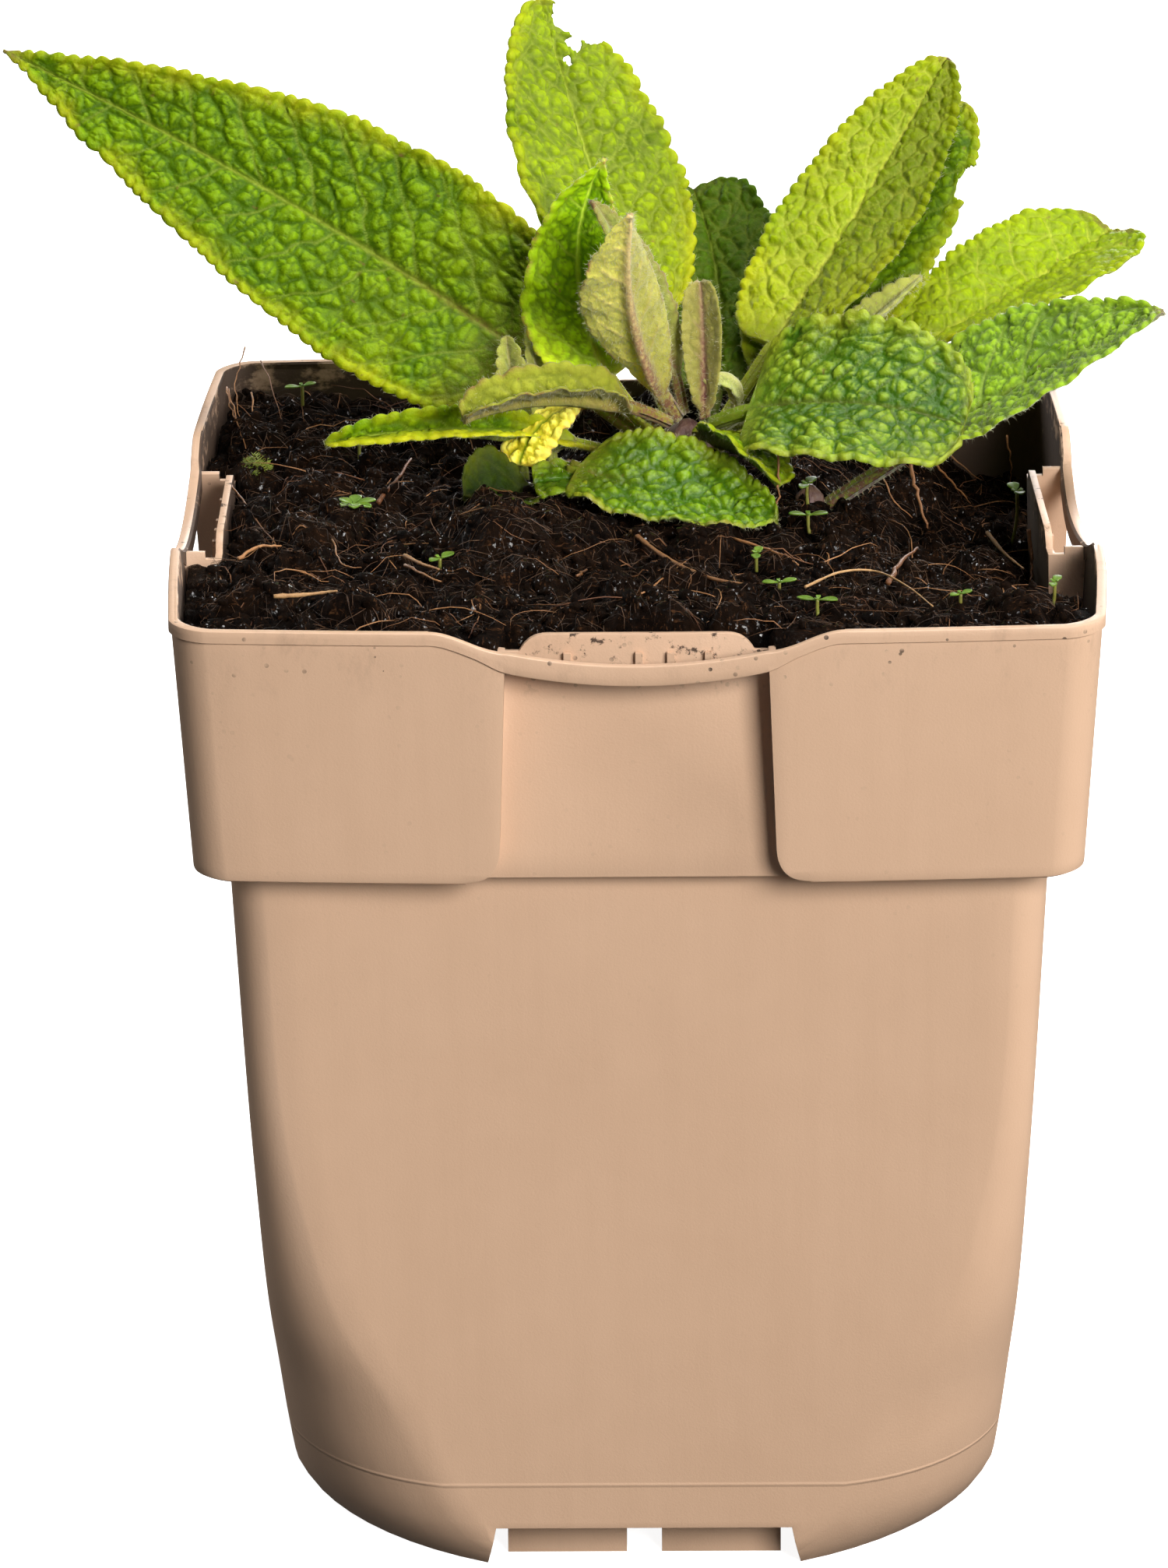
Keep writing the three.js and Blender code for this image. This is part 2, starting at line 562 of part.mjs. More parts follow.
const SEEDLINGS = {
  seedling_rear_left: { x: -53, y: 51, height: 4, turn: 30, length: 4.5 },
  weed_star_left: { x: -40.5, y: 1, height: 1.5, leaves: 5, length: 4.5, turn: 20 },
  weed_under_low_leaf: { x: -41, y: 34, height: 3, turn: 10, length: 3.5 },
  seedling_front_left: { x: -27.5, y: -26, height: 1.5, turn: 60 },
  seedling_pair_rear: { x: 24, y: 2.5, height: 3, turn: 75, length: 3.5 },
  seedling_pair_front: { x: 24, y: -7, height: 1.5, turn: 5, length: 3.2 },
  seedling_tall_right: { x: 54.5, y: 16, height: 7, turn: 100, length: 3.6, rise: 40 },
  seedling_middle: { x: 16.5, y: -24.5, height: 1.5, turn: 80, length: 2.8 },
  seedling_front_first: { x: 19.5, y: -40, height: 1.2, turn: 20, length: 2.6 },
  seedling_front_second: { x: 24.5, y: -53, height: 1.5, turn: -15, length: 3.2 },
  seedling_front_right: { x: 44, y: -50, height: 1.5, turn: 35, length: 2.4 },
  seedling_right_corner: { x: 57, y: -45, height: 2.5, turn: 70, length: 2.6 },
};

const STRAWS = {
  twig_curved_middle: { radius: 0.6, lift: 0.4, path: [[-1, -13], [4, -25], [10, -36], [15.5, -41]] },
  straw_pale_right: {
    radius: 0.45,
    lift: 1.2,
    path: [[23, -45], [28, -34], [33, -31], [37, -44], [40, -57]],
  },
  straw_front_left: { radius: 0.6, lift: 0.6, path: [[-49.5, -48], [-45.5, -47], [-41, -44.5]] },
  straw_right: { radius: 0.5, lift: 1.5, path: [[50, 10], [52, 2], [54.5, -6]] },
  straw_left: { radius: 0.5, lift: 0.8, path: [[-32.5, -24], [-30, -28], [-27.5, -31]] },
};

function straw({ radius, lift, path }) {
  const height = (x, y) => soilHeight(x, y) + ABOVE_SOIL + radius + lift;
  const route = new THREE.CatmullRomCurve3(path.map(([x, y]) => new THREE.Vector3(x, y, height(x, y))));
  const section = new THREE.Shape();
  section.absarc(0, 0, radius, 0, 2 * Math.PI);
  const steps = 4 * (path.length - 1);
  const options = { extrudePath: route, steps, curveSegments: 3, bevelEnabled: false };
  return solidFrom(new THREE.ExtrudeGeometry(section, options));
}

const MOSS = { x: -55.5, y: 20, width: 4.5, depth: 7, height: 3 };

function makeMoss() {
  const geometry = new THREE.SphereGeometry(1, 8, 6);
  geometry.scale(MOSS.width / 2, MOSS.depth / 2, MOSS.height / 2);
  geometry.translate(MOSS.x, MOSS.y, soilHeight(MOSS.x, MOSS.y) + ABOVE_SOIL + MOSS.height / 2);
  return solidFrom(geometry);
}

// ---------- Assembly ----------
const material = (color, roughness) => new THREE.MeshStandardMaterial({ color, roughness, metalness: 0 });
const FINISH = {
  pot: material(0xcda88a, 0.5),
  soil: material(0x2a1d15, 0.9),
  stock: material(0x7a5a4a, 0.6),
  straw: material(0xb5875a, 0.7),
  moss: material(0x8ea23a, 0.8),
  weed: material(0x7db544, 0.5),
};

const plant = new THREE.Group();
const place = (name, solid, finish) => {
  const mesh = new THREE.Mesh(geometryFrom(solid), finish);
  mesh.name = name;
  plant.add(mesh);
};

const STOCKS = { crown: CROWN, side_shoot: SIDE_SHOOT, right_shoot: RIGHT_SHOOT };
const stockRoom = Object.values(STOCKS).map((s) => stock(s, GAP));
const leaves = makeLeaves(stockRoom);
const soilRoom = [...stockRoom, ...Object.values(LEAVES).map((leaf) => leafSolid(leaf, GAP))];
const filling = soilBlock().intersect(potInside(GAP));
const soil = soilRoom.reduce((s, room) => (s.intersect(room).volume() > 0 ? s.subtract(room) : s), filling);

place("pot", makePot(), FINISH.pot);
place("soil", giveWay(largest(soil)), FINISH.soil);
for (const [name, sizes] of Object.entries(STOCKS)) place(name, stock(sizes), FINISH.stock);
for (const [name, solid] of Object.entries(leaves)) place(name, solid, material(LEAVES[name].tint, 0.45));
for (const [name, sizes] of Object.entries(SEEDLINGS)) place(name, seedling(sizes), FINISH.weed);
for (const [name, sizes] of Object.entries(STRAWS)) place(name, straw(sizes), FINISH.straw);
place("moss_cushion", makeMoss(), FINISH.moss);

export default plant;
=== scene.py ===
"""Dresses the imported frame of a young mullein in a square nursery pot.

The pot is moulded again with its fine edges, the peat gets its clods and fibres, and every leaf is grown as
a thin blistered sheet with veins, a toothed margin and hairs. Sizes are millimetres in the frame of the CAD
model, and become Blender's metres only where a mesh is made.
"""

import logging
import math
from dataclasses import dataclass
from enum import Enum
from typing import Sequence

import bmesh
import bpy
import numpy as np
from mathutils import Matrix, Vector


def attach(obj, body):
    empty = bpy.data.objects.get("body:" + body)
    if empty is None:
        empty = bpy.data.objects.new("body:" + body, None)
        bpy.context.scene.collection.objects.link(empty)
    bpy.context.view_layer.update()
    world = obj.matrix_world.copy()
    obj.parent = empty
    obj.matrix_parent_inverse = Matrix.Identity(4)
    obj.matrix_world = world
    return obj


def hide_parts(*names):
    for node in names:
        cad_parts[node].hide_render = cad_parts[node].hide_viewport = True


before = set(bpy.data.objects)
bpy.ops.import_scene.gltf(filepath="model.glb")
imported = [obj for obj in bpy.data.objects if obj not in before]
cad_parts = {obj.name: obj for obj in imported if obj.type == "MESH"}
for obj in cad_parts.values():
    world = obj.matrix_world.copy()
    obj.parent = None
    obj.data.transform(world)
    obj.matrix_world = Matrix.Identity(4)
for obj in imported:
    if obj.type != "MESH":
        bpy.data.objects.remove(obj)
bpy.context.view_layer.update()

log = logging.getLogger("potted_mullein")

MM = 0.001
Array = np.ndarray
Random = np.random.Generator
Piece = bpy.types.Object
Material = bpy.types.Material
Tree = bpy.types.NodeTree
Node = bpy.types.Node
Socket = bpy.types.NodeSocket
Color = tuple[float, float, float, float]
Place = tuple[float, float, float]
Solid = tuple[Array, list[Array]]
Marks = dict[str, Array]


# ---------- Small mathematics ----------
def smooth(x: Array | float, low: float, high: float) -> Array | float:
    """A soft step from 0 at low to 1 at high."""
    t = np.clip((x - low) / (high - low), 0.0, 1.0)
    return t * t * (3.0 - 2.0 * t)


def bell(x: Array | float, width: float) -> Array | float:
    """A soft bump of height 1 about 0."""
    return np.exp(-((x / width) ** 2))


def dome(distance: Array, reach: float) -> Array:
    """The rise of a cushion from its seam, which levels out at reach."""
    return 1.0 - (1.0 - np.clip(distance / reach, 0.0, 1.0)) ** 2


def unit(vectors: Array) -> Array:
    """The same vectors with length 1."""
    return vectors / np.maximum(np.linalg.norm(vectors, axis=-1, keepdims=True), 1e-9)


def srgb(code: str) -> Color:
    """Converts a colour.

    Args:
        code: its hexadecimal sRGB code.

    Returns:
        The linear colour.
    """
    parts = [int(code[i : i + 2], 16) / 255 for i in (0, 2, 4)]
    linear = [c / 12.92 if c <= 0.04045 else ((c + 0.055) / 1.055) ** 2.4 for c in parts]
    return (*linear, 1.0)


class Noise:
    """Seeded smooth noise and cells over points of a plane, for what grows or crumbles."""

    SIDE = 256

    def __init__(self, seed: int) -> None:
        """Fills the tables that the noise reads.

        Args:
            seed: the same seed gives the same noise.
        """
        rng = np.random.default_rng(seed)
        self.table = rng.random((self.SIDE, self.SIDE))
        self.jitter = rng.random((self.SIDE, self.SIDE, 2))

    def at(self, x: Array, y: Array) -> Array:
        """Smooth noise from 0 to 1, with lumps about one unit across.

        Args:
            x: first coordinate of each point.
            y: second coordinate of each point.

        Returns:
            One value per point.
        """
        x, y = np.broadcast_arrays(x, y)
        i = np.floor(x).astype(int)
        j = np.floor(y).astype(int)
        fx = smooth(x - i, 0.0, 1.0)
        fy = smooth(y - j, 0.0, 1.0)
        n = self.SIDE
        low = self.table[i % n, j % n] * (1 - fx) + self.table[(i + 1) % n, j % n] * fx
        high = self.table[i % n, (j + 1) % n] * (1 - fx) + self.table[(i + 1) % n, (j + 1) % n] * fx
        return low * (1 - fy) + high * fy

    def layered(self, x: Array, y: Array, layers: int = 4) -> Array:
        """Noise from 0 to 1 with finer and weaker layers added.

        Args:
            x: first coordinate of each point.
            y: second coordinate of each point.
            layers: how many layers there are.

        Returns:
            One value per point.
        """
        total = 0.0
        for n in range(layers):
            total = total + self.at(x * 2**n + 17.3 * n, y * 2**n - 9.1 * n) * 0.5**n
        return total / (2 - 0.5 ** (layers - 1))

    def cells(self, x: Array, y: Array, size: tuple[float, float], loose: float = 0.8) -> tuple[Array, Array]:
        """Cells about scattered points.

        Args:
            x: first coordinate of each point, in cells.
            y: second coordinate of each point, in cells.
            size: length of a cell along x and along y.
            loose: how far a cell's centre may stray, as a share of the cell.

        Returns:
            The distance of each point to its cell's border, and a number from 0 to 1 that names the cell.
        """
        i = np.floor(x).astype(int)
        j = np.floor(y).astype(int)
        first = np.full(x.shape, 1e9)
        second = np.full(x.shape, 1e9)
        name = np.zeros(x.shape)
        for di in (-1, 0, 1):
            for dj in (-1, 0, 1):
                a = (i + di) % self.SIDE
                b = (j + dj) % self.SIDE
                cx = i + di + 0.5 + loose * (self.jitter[a, b, 0] - 0.5)
                cy = j + dj + 0.5 + loose * (self.jitter[a, b, 1] - 0.5)
                d = np.hypot((x - cx) * size[0], (y - cy) * size[1])
                second = np.where(d < first, first, np.minimum(second, d))
                name = np.where(d < first, self.table[a, b], name)
                first = np.minimum(first, d)
        return (second - first) / 2, name


# ---------- Meshes ----------
@dataclass
class Sheet:
    """Points and faces that are gathered in millimetres before they become a piece."""

    points: list[Array]
    faces: list[Array]
    finishes: list[int]
    marks: dict[str, list[Array]]
    count: int = 0

    @classmethod
    def empty(cls, *marks: str) -> "Sheet":
        """A sheet with nothing on it, whose points will carry the named marks."""
        return cls([], [], [], {name: [] for name in marks})

    def add(self, points: Array, faces: Sequence[Array], finish: int = 0, **marks: Array | float) -> None:
        """Lays more points and faces on the sheet.

        Args:
            points: n by 3 places.
            faces: arrays of triangles or quads that count from this call's first point.
            finish: which of the piece's materials the faces take.
            marks: a value per point, or one for all, for each mark of the sheet.
        """
        self.points.append(points.reshape(-1, 3))
        n = len(self.points[-1])
        for group in faces:
            self.faces.append(group + self.count)
            self.finishes.append(finish)
        for name, values in self.marks.items():
            values.append(np.broadcast_to(np.asarray(marks.get(name, 0.0), float).reshape(-1), (n,)))
        self.count += n

    def piece(self, name: str, materials: Sequence[Material]) -> Piece:
        """Makes the piece in Blender.

        Args:
            name: the piece's name.
            materials: the finishes that faces refer to.

        Returns:
            The new object, smooth shaded.
        """
        mesh = bpy.data.meshes.new(name)
        points = np.concatenate(self.points) * MM
        mesh.vertices.add(len(points))
        mesh.vertices.foreach_set("co", points.astype(np.float32).ravel())
        loops = np.concatenate([g.ravel() for g in self.faces]).astype(np.int32)
        sizes = np.concatenate([np.full(len(g), g.shape[1]) for g in self.faces])
        starts = np.concatenate([[0], np.cumsum(sizes)[:-1]]).astype(np.int32)
        slots = np.concatenate([np.full(len(g), f) for g, f in zip(self.faces, self.finishes)])
        mesh.loops.add(len(loops))
        mesh.loops.foreach_set("vertex_index", loops)
        mesh.polygons.add(len(starts))
        mesh.polygons.foreach_set("loop_start", starts)
        mesh.polygons.foreach_set("material_index", slots.astype(np.int32))
        mesh.polygons.foreach_set("use_smooth", np.ones(len(starts), bool))
        mesh.update(calc_edges=True)
        for mark, values in self.marks.items():
            layer = mesh.attributes.new(mark, "FLOAT", "POINT")
            layer.data.foreach_set("value", np.concatenate(values).astype(np.float32))
        for material in materials:
            mesh.materials.append(material)
        piece = bpy.data.objects.new(name, mesh)
        bpy.context.scene.collection.objects.link(piece)
        return piece


def dress(piece: Piece, slot: str, *nodes: str) -> None:
    """Puts a finished piece on the frame and reports it.

    Args:
        piece: the piece, with its place in its mesh.
        slot: the record's material slot; not used.
        nodes: the CAD nodes it stands for.
    """
    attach(piece, "root")
    if nodes:
        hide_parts(*nodes)
    faces = len(piece.data.polygons)
    log.info("%s: %d faces, stands for %s", piece.name, faces, ", ".join(nodes) or "no node")


def spikes(roots: Array, aims: Array, lengths: Array, radius: float, bend: Array) -> Solid:
    """Fine hairs with three sides, a bend in the middle and a point.

    Args:
        roots: where each hair starts.
        aims: the direction in which it starts.
        lengths: its length.
        radius: its radius at the root.
        bend: a vector per hair that its tip strays by, as a share of its length.

    Returns:
        The hairs' points and their faces.
    """
    n = len(roots)
    aims = unit(aims)
    side = unit(np.cross(aims, np.roll(aims, 1, axis=1) + 0.3))
    over = np.cross(aims, side)
    reach = lengths[:, None]
    middle = roots + aims * reach * 0.5
    tip = roots + aims * reach + bend * reach
    points = np.empty((n, 7, 3))
    for k in range(3):
        turn = 2 * math.pi * k / 3
        out = side * math.cos(turn) + over * math.sin(turn)
        points[:, k] = roots + out * radius
        points[:, 3 + k] = middle + out * radius * 0.7
    points[:, 6] = tip
    first = np.arange(n)[:, None] * 7
    quads = np.concatenate([first + [k, (k + 1) % 3, 3 + (k + 1) % 3, 3 + k] for k in range(3)])
    points_on = np.concatenate([first + [3 + k, 3 + (k + 1) % 3, 6] for k in range(3)])
    return points.reshape(-1, 3), [quads, points_on]


def tubes(paths: Array, radii: Array, sides: int) -> Solid:
    """Closed tubes along paths.

    Args:
        paths: the points each tube follows, n by steps by 3.
        radii: the radius at each point, n by steps.
        sides: how many sides the tubes have.

    Returns:
        Their points and faces.
    """
    n, k = paths.shape[:2]
    along = unit(np.gradient(paths, axis=1))
    side = unit(np.cross(along, np.array([0.3, 0.2, 1.0])))
    over = np.cross(side, along)
    turns = 2 * math.pi * np.arange(sides) / sides
    out = side[:, :, None] * np.cos(turns)[:, None] - over[:, :, None] * np.sin(turns)[:, None]
    rings = (paths[:, :, None] + radii[:, :, None, None] * out).reshape(n, -1, 3)
    points = np.concatenate([rings, paths[:, :1], paths[:, -1:]], axis=1)
    first = np.arange(n)[:, None, None] * (k * sides + 2)
    a = np.arange((k - 1) * sides).reshape(k - 1, sides)
    b = np.roll(a, -1, axis=1)
    quads = np.stack([a, b, b + sides, a + sides], axis=-1).reshape(-1, 4) + first
    here = np.arange(sides)
    after = np.roll(here, -1)
    foot = np.stack([after, here, np.full(sides, k * sides)], axis=1) + first
    high = (k - 1) * sides
    head = np.stack([high + here, high + after, np.full(sides, k * sides + 1)], axis=1) + first
    return points.reshape(-1, 3), [quads.reshape(-1, 4), foot.reshape(-1, 3), head.reshape(-1, 3)]


def tube(path: Array, radii: Array, sides: int) -> Solid:
    """One closed tube along a path."""
    return tubes(path[None], radii[None], sides)


def curve_through(points: Sequence[Sequence[float]], steps: int) -> Array:
    """A smooth line through points.

    Args:
        points: the points it passes.
        steps: how many steps it takes between two neighbours.

    Returns:
        Its places, with the last point among them.
    """
    p = np.asarray(points, float)
    p = np.concatenate([[2 * p[0] - p[1]], p, [2 * p[-1] - p[-2]]])
    out = []
    for i in range(1, len(p) - 2):
        t = np.linspace(0, 1, steps, endpoint=i == len(p) - 3)[:, None]
        a, b, c, d = p[i - 1 : i + 3]
        square, cube = 2 * a - 5 * b + 4 * c - d, 3 * b - a - 3 * c + d
        out.append(0.5 * (2 * b + (c - a) * t + square * t**2 + cube * t**3))
    return np.concatenate(out)


def shell(top: Array, low: Array, keep: Array) -> tuple[Array, Array, Array]:
    """Closes an upper and a lower grid of points into one body.

    Args:
        top: the upper skin's grid of points.
        low: the lower skin's grid of points.
        keep: which cells of the grid are there.

    Returns:
        The body's points, its faces, and each point's number in the upper grid followed by the lower.
    """
    rows, columns = top.shape[:2]
    n = rows * columns
    index = np.arange(n).reshape(rows, columns)
    a, b, c, d = index[:-1, :-1], index[1:, :-1], index[1:, 1:], index[:-1, 1:]
    padded = np.pad(keep, 1)
    faces = [np.stack([a, b, c, d], axis=-1)[keep], np.stack([a, d, c, b], axis=-1)[keep] + n]
    for first, second, around in (
        (a, b, padded[1:-1, :-2]),
        (b, c, padded[2:, 1:-1]),
        (c, d, padded[1:-1, 2:]),
        (d, a, padded[:-2, 1:-1]),
    ):
        open_edge = keep & ~around
        p, q = first[open_edge], second[open_edge]
        faces.append(np.stack([q, p, p + n, q + n], axis=-1))
    faces = np.concatenate(faces)
    used = np.unique(faces)
    renumber = np.zeros(2 * n, int)
    renumber[used] = np.arange(len(used))
    return np.concatenate([top.reshape(-1, 3), low.reshape(-1, 3)])[used], renumber[faces], used


# ---------- Materials ----------
Input = float | Color | Socket


class Wiring:
    """A node tree with short calls that place nodes and join them."""

    def __init__(self, tree: Tree) -> None:
        """Takes the tree that the calls work on."""
        self.tree = tree

    def put(self, kind: str, values: dict[str | int, Input] | None = None, **settings: object) -> Node:
        """Places a node.

        Args:
            kind: the node's type.
            values: what each input gets, by name or number: a value, or the output of another node.
            settings: the node's own properties.

        Returns:
            The node.
        """
        node = self.tree.nodes.new(kind)
        for name, value in settings.items():
            setattr(node, name, value)
        for name, value in (values or {}).items():
            self.plug(node.inputs[name], value)
        return node

    def plug(self, port: Socket, value: Input) -> None:
        """Joins an output to an input, or sets the input's own value.

        Args:
            port: the input.
            value: the output or the value.
        """
        if isinstance(value, Socket):
            self.tree.links.new(value, port)
        else:
            port.default_value = value

    def feed(self, node: Node, **values: Input) -> Node:
        """Joins or sets a node's inputs.

        Args:
            node: the node.
            values: what each input gets, by its name in small letters with underscores.

        Returns:
            The same node.
        """
        for name, value in values.items():
            self.plug(node.inputs[name.replace("_", " ").title().replace("Ior", "IOR")], value)
        return node

    def mix(self, share: Input, first: Input, second: Input, blend: str = "MIX") -> Socket:
        """A colour between two others."""
        node = self.put("ShaderNodeMix", {0: share, 6: first, 7: second}, data_type="RGBA", blend_type=blend)
        return node.outputs[2]

    def math(self, operation: str, first: Input, second: Input = 0.0) -> Socket:
        """The result of one sum."""
        return self.put("ShaderNodeMath", {0: first, 1: second}, operation=operation).outputs[0]

    def times(self, first: Input, second: Input) -> Socket:
        """One value times another."""
        return self.math("MULTIPLY", first, second)

    def plus(self, first: Input, second: Input) -> Socket:
        """One value and another."""
        return self.math("ADD", first, second)

    def band(self, value: Input, low: float, high: float, start: float = 0.0, end: float = 1.0) -> Socket:
        """Maps low..high softly to start..end."""
        values = {"Value": value, "From Min": low, "From Max": high, "To Min": start, "To Max": end}
        return self.put("ShaderNodeMapRange", values, interpolation_type="SMOOTHSTEP").outputs[0]

    def place(self) -> Socket:
        """The point's place on the object, in metres."""
        return self.put("ShaderNodeTexCoord").outputs["Object"]

    def height(self) -> Socket:
        """The point's height, in metres."""
        return self.put("ShaderNodeSeparateXYZ", {0: self.place()}).outputs["Z"]

    def noise(self, scale: float, detail: float = 3, rough: float = 0.5, stretch: Place = (1, 1, 1)) -> Socket:
        """Noise from 0 to 1.

        Args:
            scale: how many lumps there are in a metre.
            detail: how many finer layers are added.
            rough: how strong the finer layers are.
            stretch: a factor on the scale along each axis, where less than 1 draws the lumps out.

        Returns:
            The noise.
        """
        vector = self.put("ShaderNodeMapping", {"Vector": self.place(), "Scale": tuple(stretch)}).outputs[0]
        values = {"Vector": vector, "Scale": scale, "Detail": detail, "Roughness": rough}
        return self.put("ShaderNodeTexNoise", values).outputs["Fac"]

    def mark(self, name: str) -> Socket:
        """A mark that the mesh carries on its points."""
        return self.put("ShaderNodeAttribute", attribute_type="GEOMETRY", attribute_name=name).outputs["Fac"]

    def bump(self, height: Input, distance: float, strength: float = 1.0) -> Socket:
        """A normal raised by a height, with full height at so many metres."""
        values = {"Height": height, "Distance": distance, "Strength": strength}
        return self.put("ShaderNodeBump", values).outputs[0]

    def group(self, tree: Tree, **values: Input) -> Node:
        """Places a shared effect, with its inputs' names in small letters."""
        return self.feed(self.put("ShaderNodeGroup", node_tree=tree), **values)


class Port(Enum):
    """The kinds of socket that a shared effect has."""

    VALUE = "NodeSocketFloat"
    COLOR = "NodeSocketColor"


Ports = dict[str, Port]


def shared_effect(name: str, inputs: Ports, outputs: Ports) -> tuple[Wiring, Node, Node]:
    """Starts a node group.

    Args:
        name: the effect's name.
        inputs: its named inputs.
        outputs: its named outputs.

    Returns:
        The wiring of the group, and its input and output nodes.
    """
    tree = bpy.data.node_groups.new(name, "ShaderNodeTree")
    for direction, ports in (("INPUT", inputs), ("OUTPUT", outputs)):
        for port, kind in ports.items():
            tree.interface.new_socket(name=port, in_out=direction, socket_type=kind.value)
    wiring = Wiring(tree)
    return wiring, wiring.put("NodeGroupInput"), wiring.put("NodeGroupOutput")


def mottle_effect() -> Tree:
    """Two colours that run into each other in large and small patches.

    Returns:
        A group with the inputs Pale, Dark, Scale and Spread and the outputs Color and Mask.
    """
    ports = {"Pale": Port.COLOR, "Dark": Port.COLOR, "Scale": Port.VALUE, "Spread": Port.VALUE}
    w, given, result = shared_effect("Mottle", ports, {"Color": Port.COLOR, "Mask": Port.VALUE})
    place = w.place()
    large = w.put("ShaderNodeTexNoise", {"Vector": place, "Scale": given.outputs["Scale"], "Detail": 5.0})
    fine_scale = w.times(given.outputs["Scale"], 5.3)
    fine = w.put("ShaderNodeTexNoise", {"Vector": place, "Scale": fine_scale, "Detail": 3.0})
    large_share, fine_share = 0.65, 0.35
    both = w.plus(w.times(large.outputs["Fac"], large_share), w.times(fine.outputs["Fac"], fine_share))
    centred = w.math("SUBTRACT", both, 0.5)
    spread = w.times(centred, given.outputs["Spread"])
    mask = w.put("ShaderNodeClamp", {0: w.plus(spread, 0.5)}).outputs[0]
    w.feed(result, mask=mask, color=w.mix(mask, given.outputs["Pale"], given.outputs["Dark"]))
    return w.tree


def soiling_effect() -> Tree:
    """Specks and smears of peat, thickest near the rim.

    Returns:
        A group with the inputs Low, High and Amount and the outputs Specks and Smears.
    """
    ports = {"Low": Port.VALUE, "High": Port.VALUE, "Amount": Port.VALUE}
    w, given, result = shared_effect("Soiling", ports, {"Specks": Port.VALUE, "Smears": Port.VALUE})
    place = w.place()
    limits = {"From Min": given.outputs["Low"], "From Max": given.outputs["High"]}
    rise = w.put("ShaderNodeMapRange", {"Value": w.height(), **limits}).outputs[0]
    level = w.times(rise, given.outputs["Amount"])
    cells = w.put("ShaderNodeTexVoronoi", {"Vector": place, "Scale": 620.0, "Randomness": 1.0})
    grain = w.math("LESS_THAN", cells.outputs["Distance"], 0.2)
    patches = w.band(w.noise(190, 3, 0.6), 0.52, 0.7)
    specks = w.times(w.times(grain, patches), level)
    smears = w.times(w.band(w.noise(260, 6, 0.7, (1, 1, 0.5)), 0.5, 0.85), level)
    w.feed(result, specks=specks, smears=smears)
    return w.tree


def blade_effect() -> Tree:
    """The skin of a leaf, painted by the marks on its mesh.

    Returns:
        A group with a colour input for each tissue and the outputs Color, Shine and Grain.
    """
    tissues = ("Dome", "Seam", "Vein", "Ripe", "Rust", "Under")
    ports = {name: Port.COLOR for name in tissues}
    outputs = {"Color": Port.COLOR, "Shine": Port.VALUE, "Grain": Port.VALUE}
    w, given, result = shared_effect("Leaf skin", ports, outputs)
    patches = w.noise(130, 4, 0.55)
    # Creases between domes take the darker Seam: partly the leaf's own colour, partly painted shade
    lift = w.plus(w.mark("lift"), w.times(w.math("SUBTRACT", patches, 0.5), 0.9))
    color = w.mix(w.band(lift, 0.12, 0.95), given.outputs["Seam"], given.outputs["Dome"])
    ripe = w.times(w.mark("ripe"), w.band(w.noise(420, 3, 0.6), 0.25, 0.6, 0.45, 1.0))
    color = w.mix(ripe, color, given.outputs["Ripe"])
    color = w.mix(w.mark("vein"), color, given.outputs["Vein"])
    flecks = w.band(w.noise(1500, 2, 0.6), 0.35, 0.62, 0.35, 1.0)
    felt = w.band(w.noise(700, 4, 0.6), 0.3, 0.7, 0.0, 0.4)
    under = w.mix(felt, given.outputs["Under"], given.outputs["Seam"])
    under = w.mix(w.times(w.mark("vein"), 0.7), under, given.outputs["Vein"])
    color = w.mix(w.mark("under"), color, under)
    color = w.mix(w.times(w.mark("rust"), flecks), color, given.outputs["Rust"])
    # Painted light and painted shade: the tone mark makes each leaf and its left half lighter or darker, with
    # random patches
    tone = w.times(w.mark("tone"), w.band(w.noise(900, 5, 0.6), 0.2, 0.8, 0.86, 1.12))
    shade = w.put("ShaderNodeCombineColor", {0: tone, 1: tone, 2: tone}).outputs[0]
    color = w.mix(1.0, color, shade, "MULTIPLY")
    spread = w.times(w.noise(600, 4, 0.6), 0.26)
    wool = w.times(w.mark("under"), 0.3)
    grain = w.plus(w.noise(2600, 3, 0.6), w.noise(900, 2, 0.5))
    w.feed(result, color=color, shine=w.plus(spread, wool), grain=grain)
    return w.tree


@dataclass(frozen=True)
class Effects:
    """The shader groups that several finishes share."""

    mottle: Tree
    soiling: Tree
    blade: Tree

    @classmethod
    def make(cls) -> "Effects":
        """Builds each group once."""
        return cls(mottle_effect(), soiling_effect(), blade_effect())


def new_material(name: str) -> tuple[Material, Wiring, Node]:
    """A material with an unwired Principled shader.

    Args:
        name: the material's name.

    Returns:
        The material, its wiring and the shader node.
    """
    material = bpy.data.materials.new(name)
    material.use_nodes = True
    wiring = Wiring(material.node_tree)
    return material, wiring, material.node_tree.nodes["Principled BSDF"]


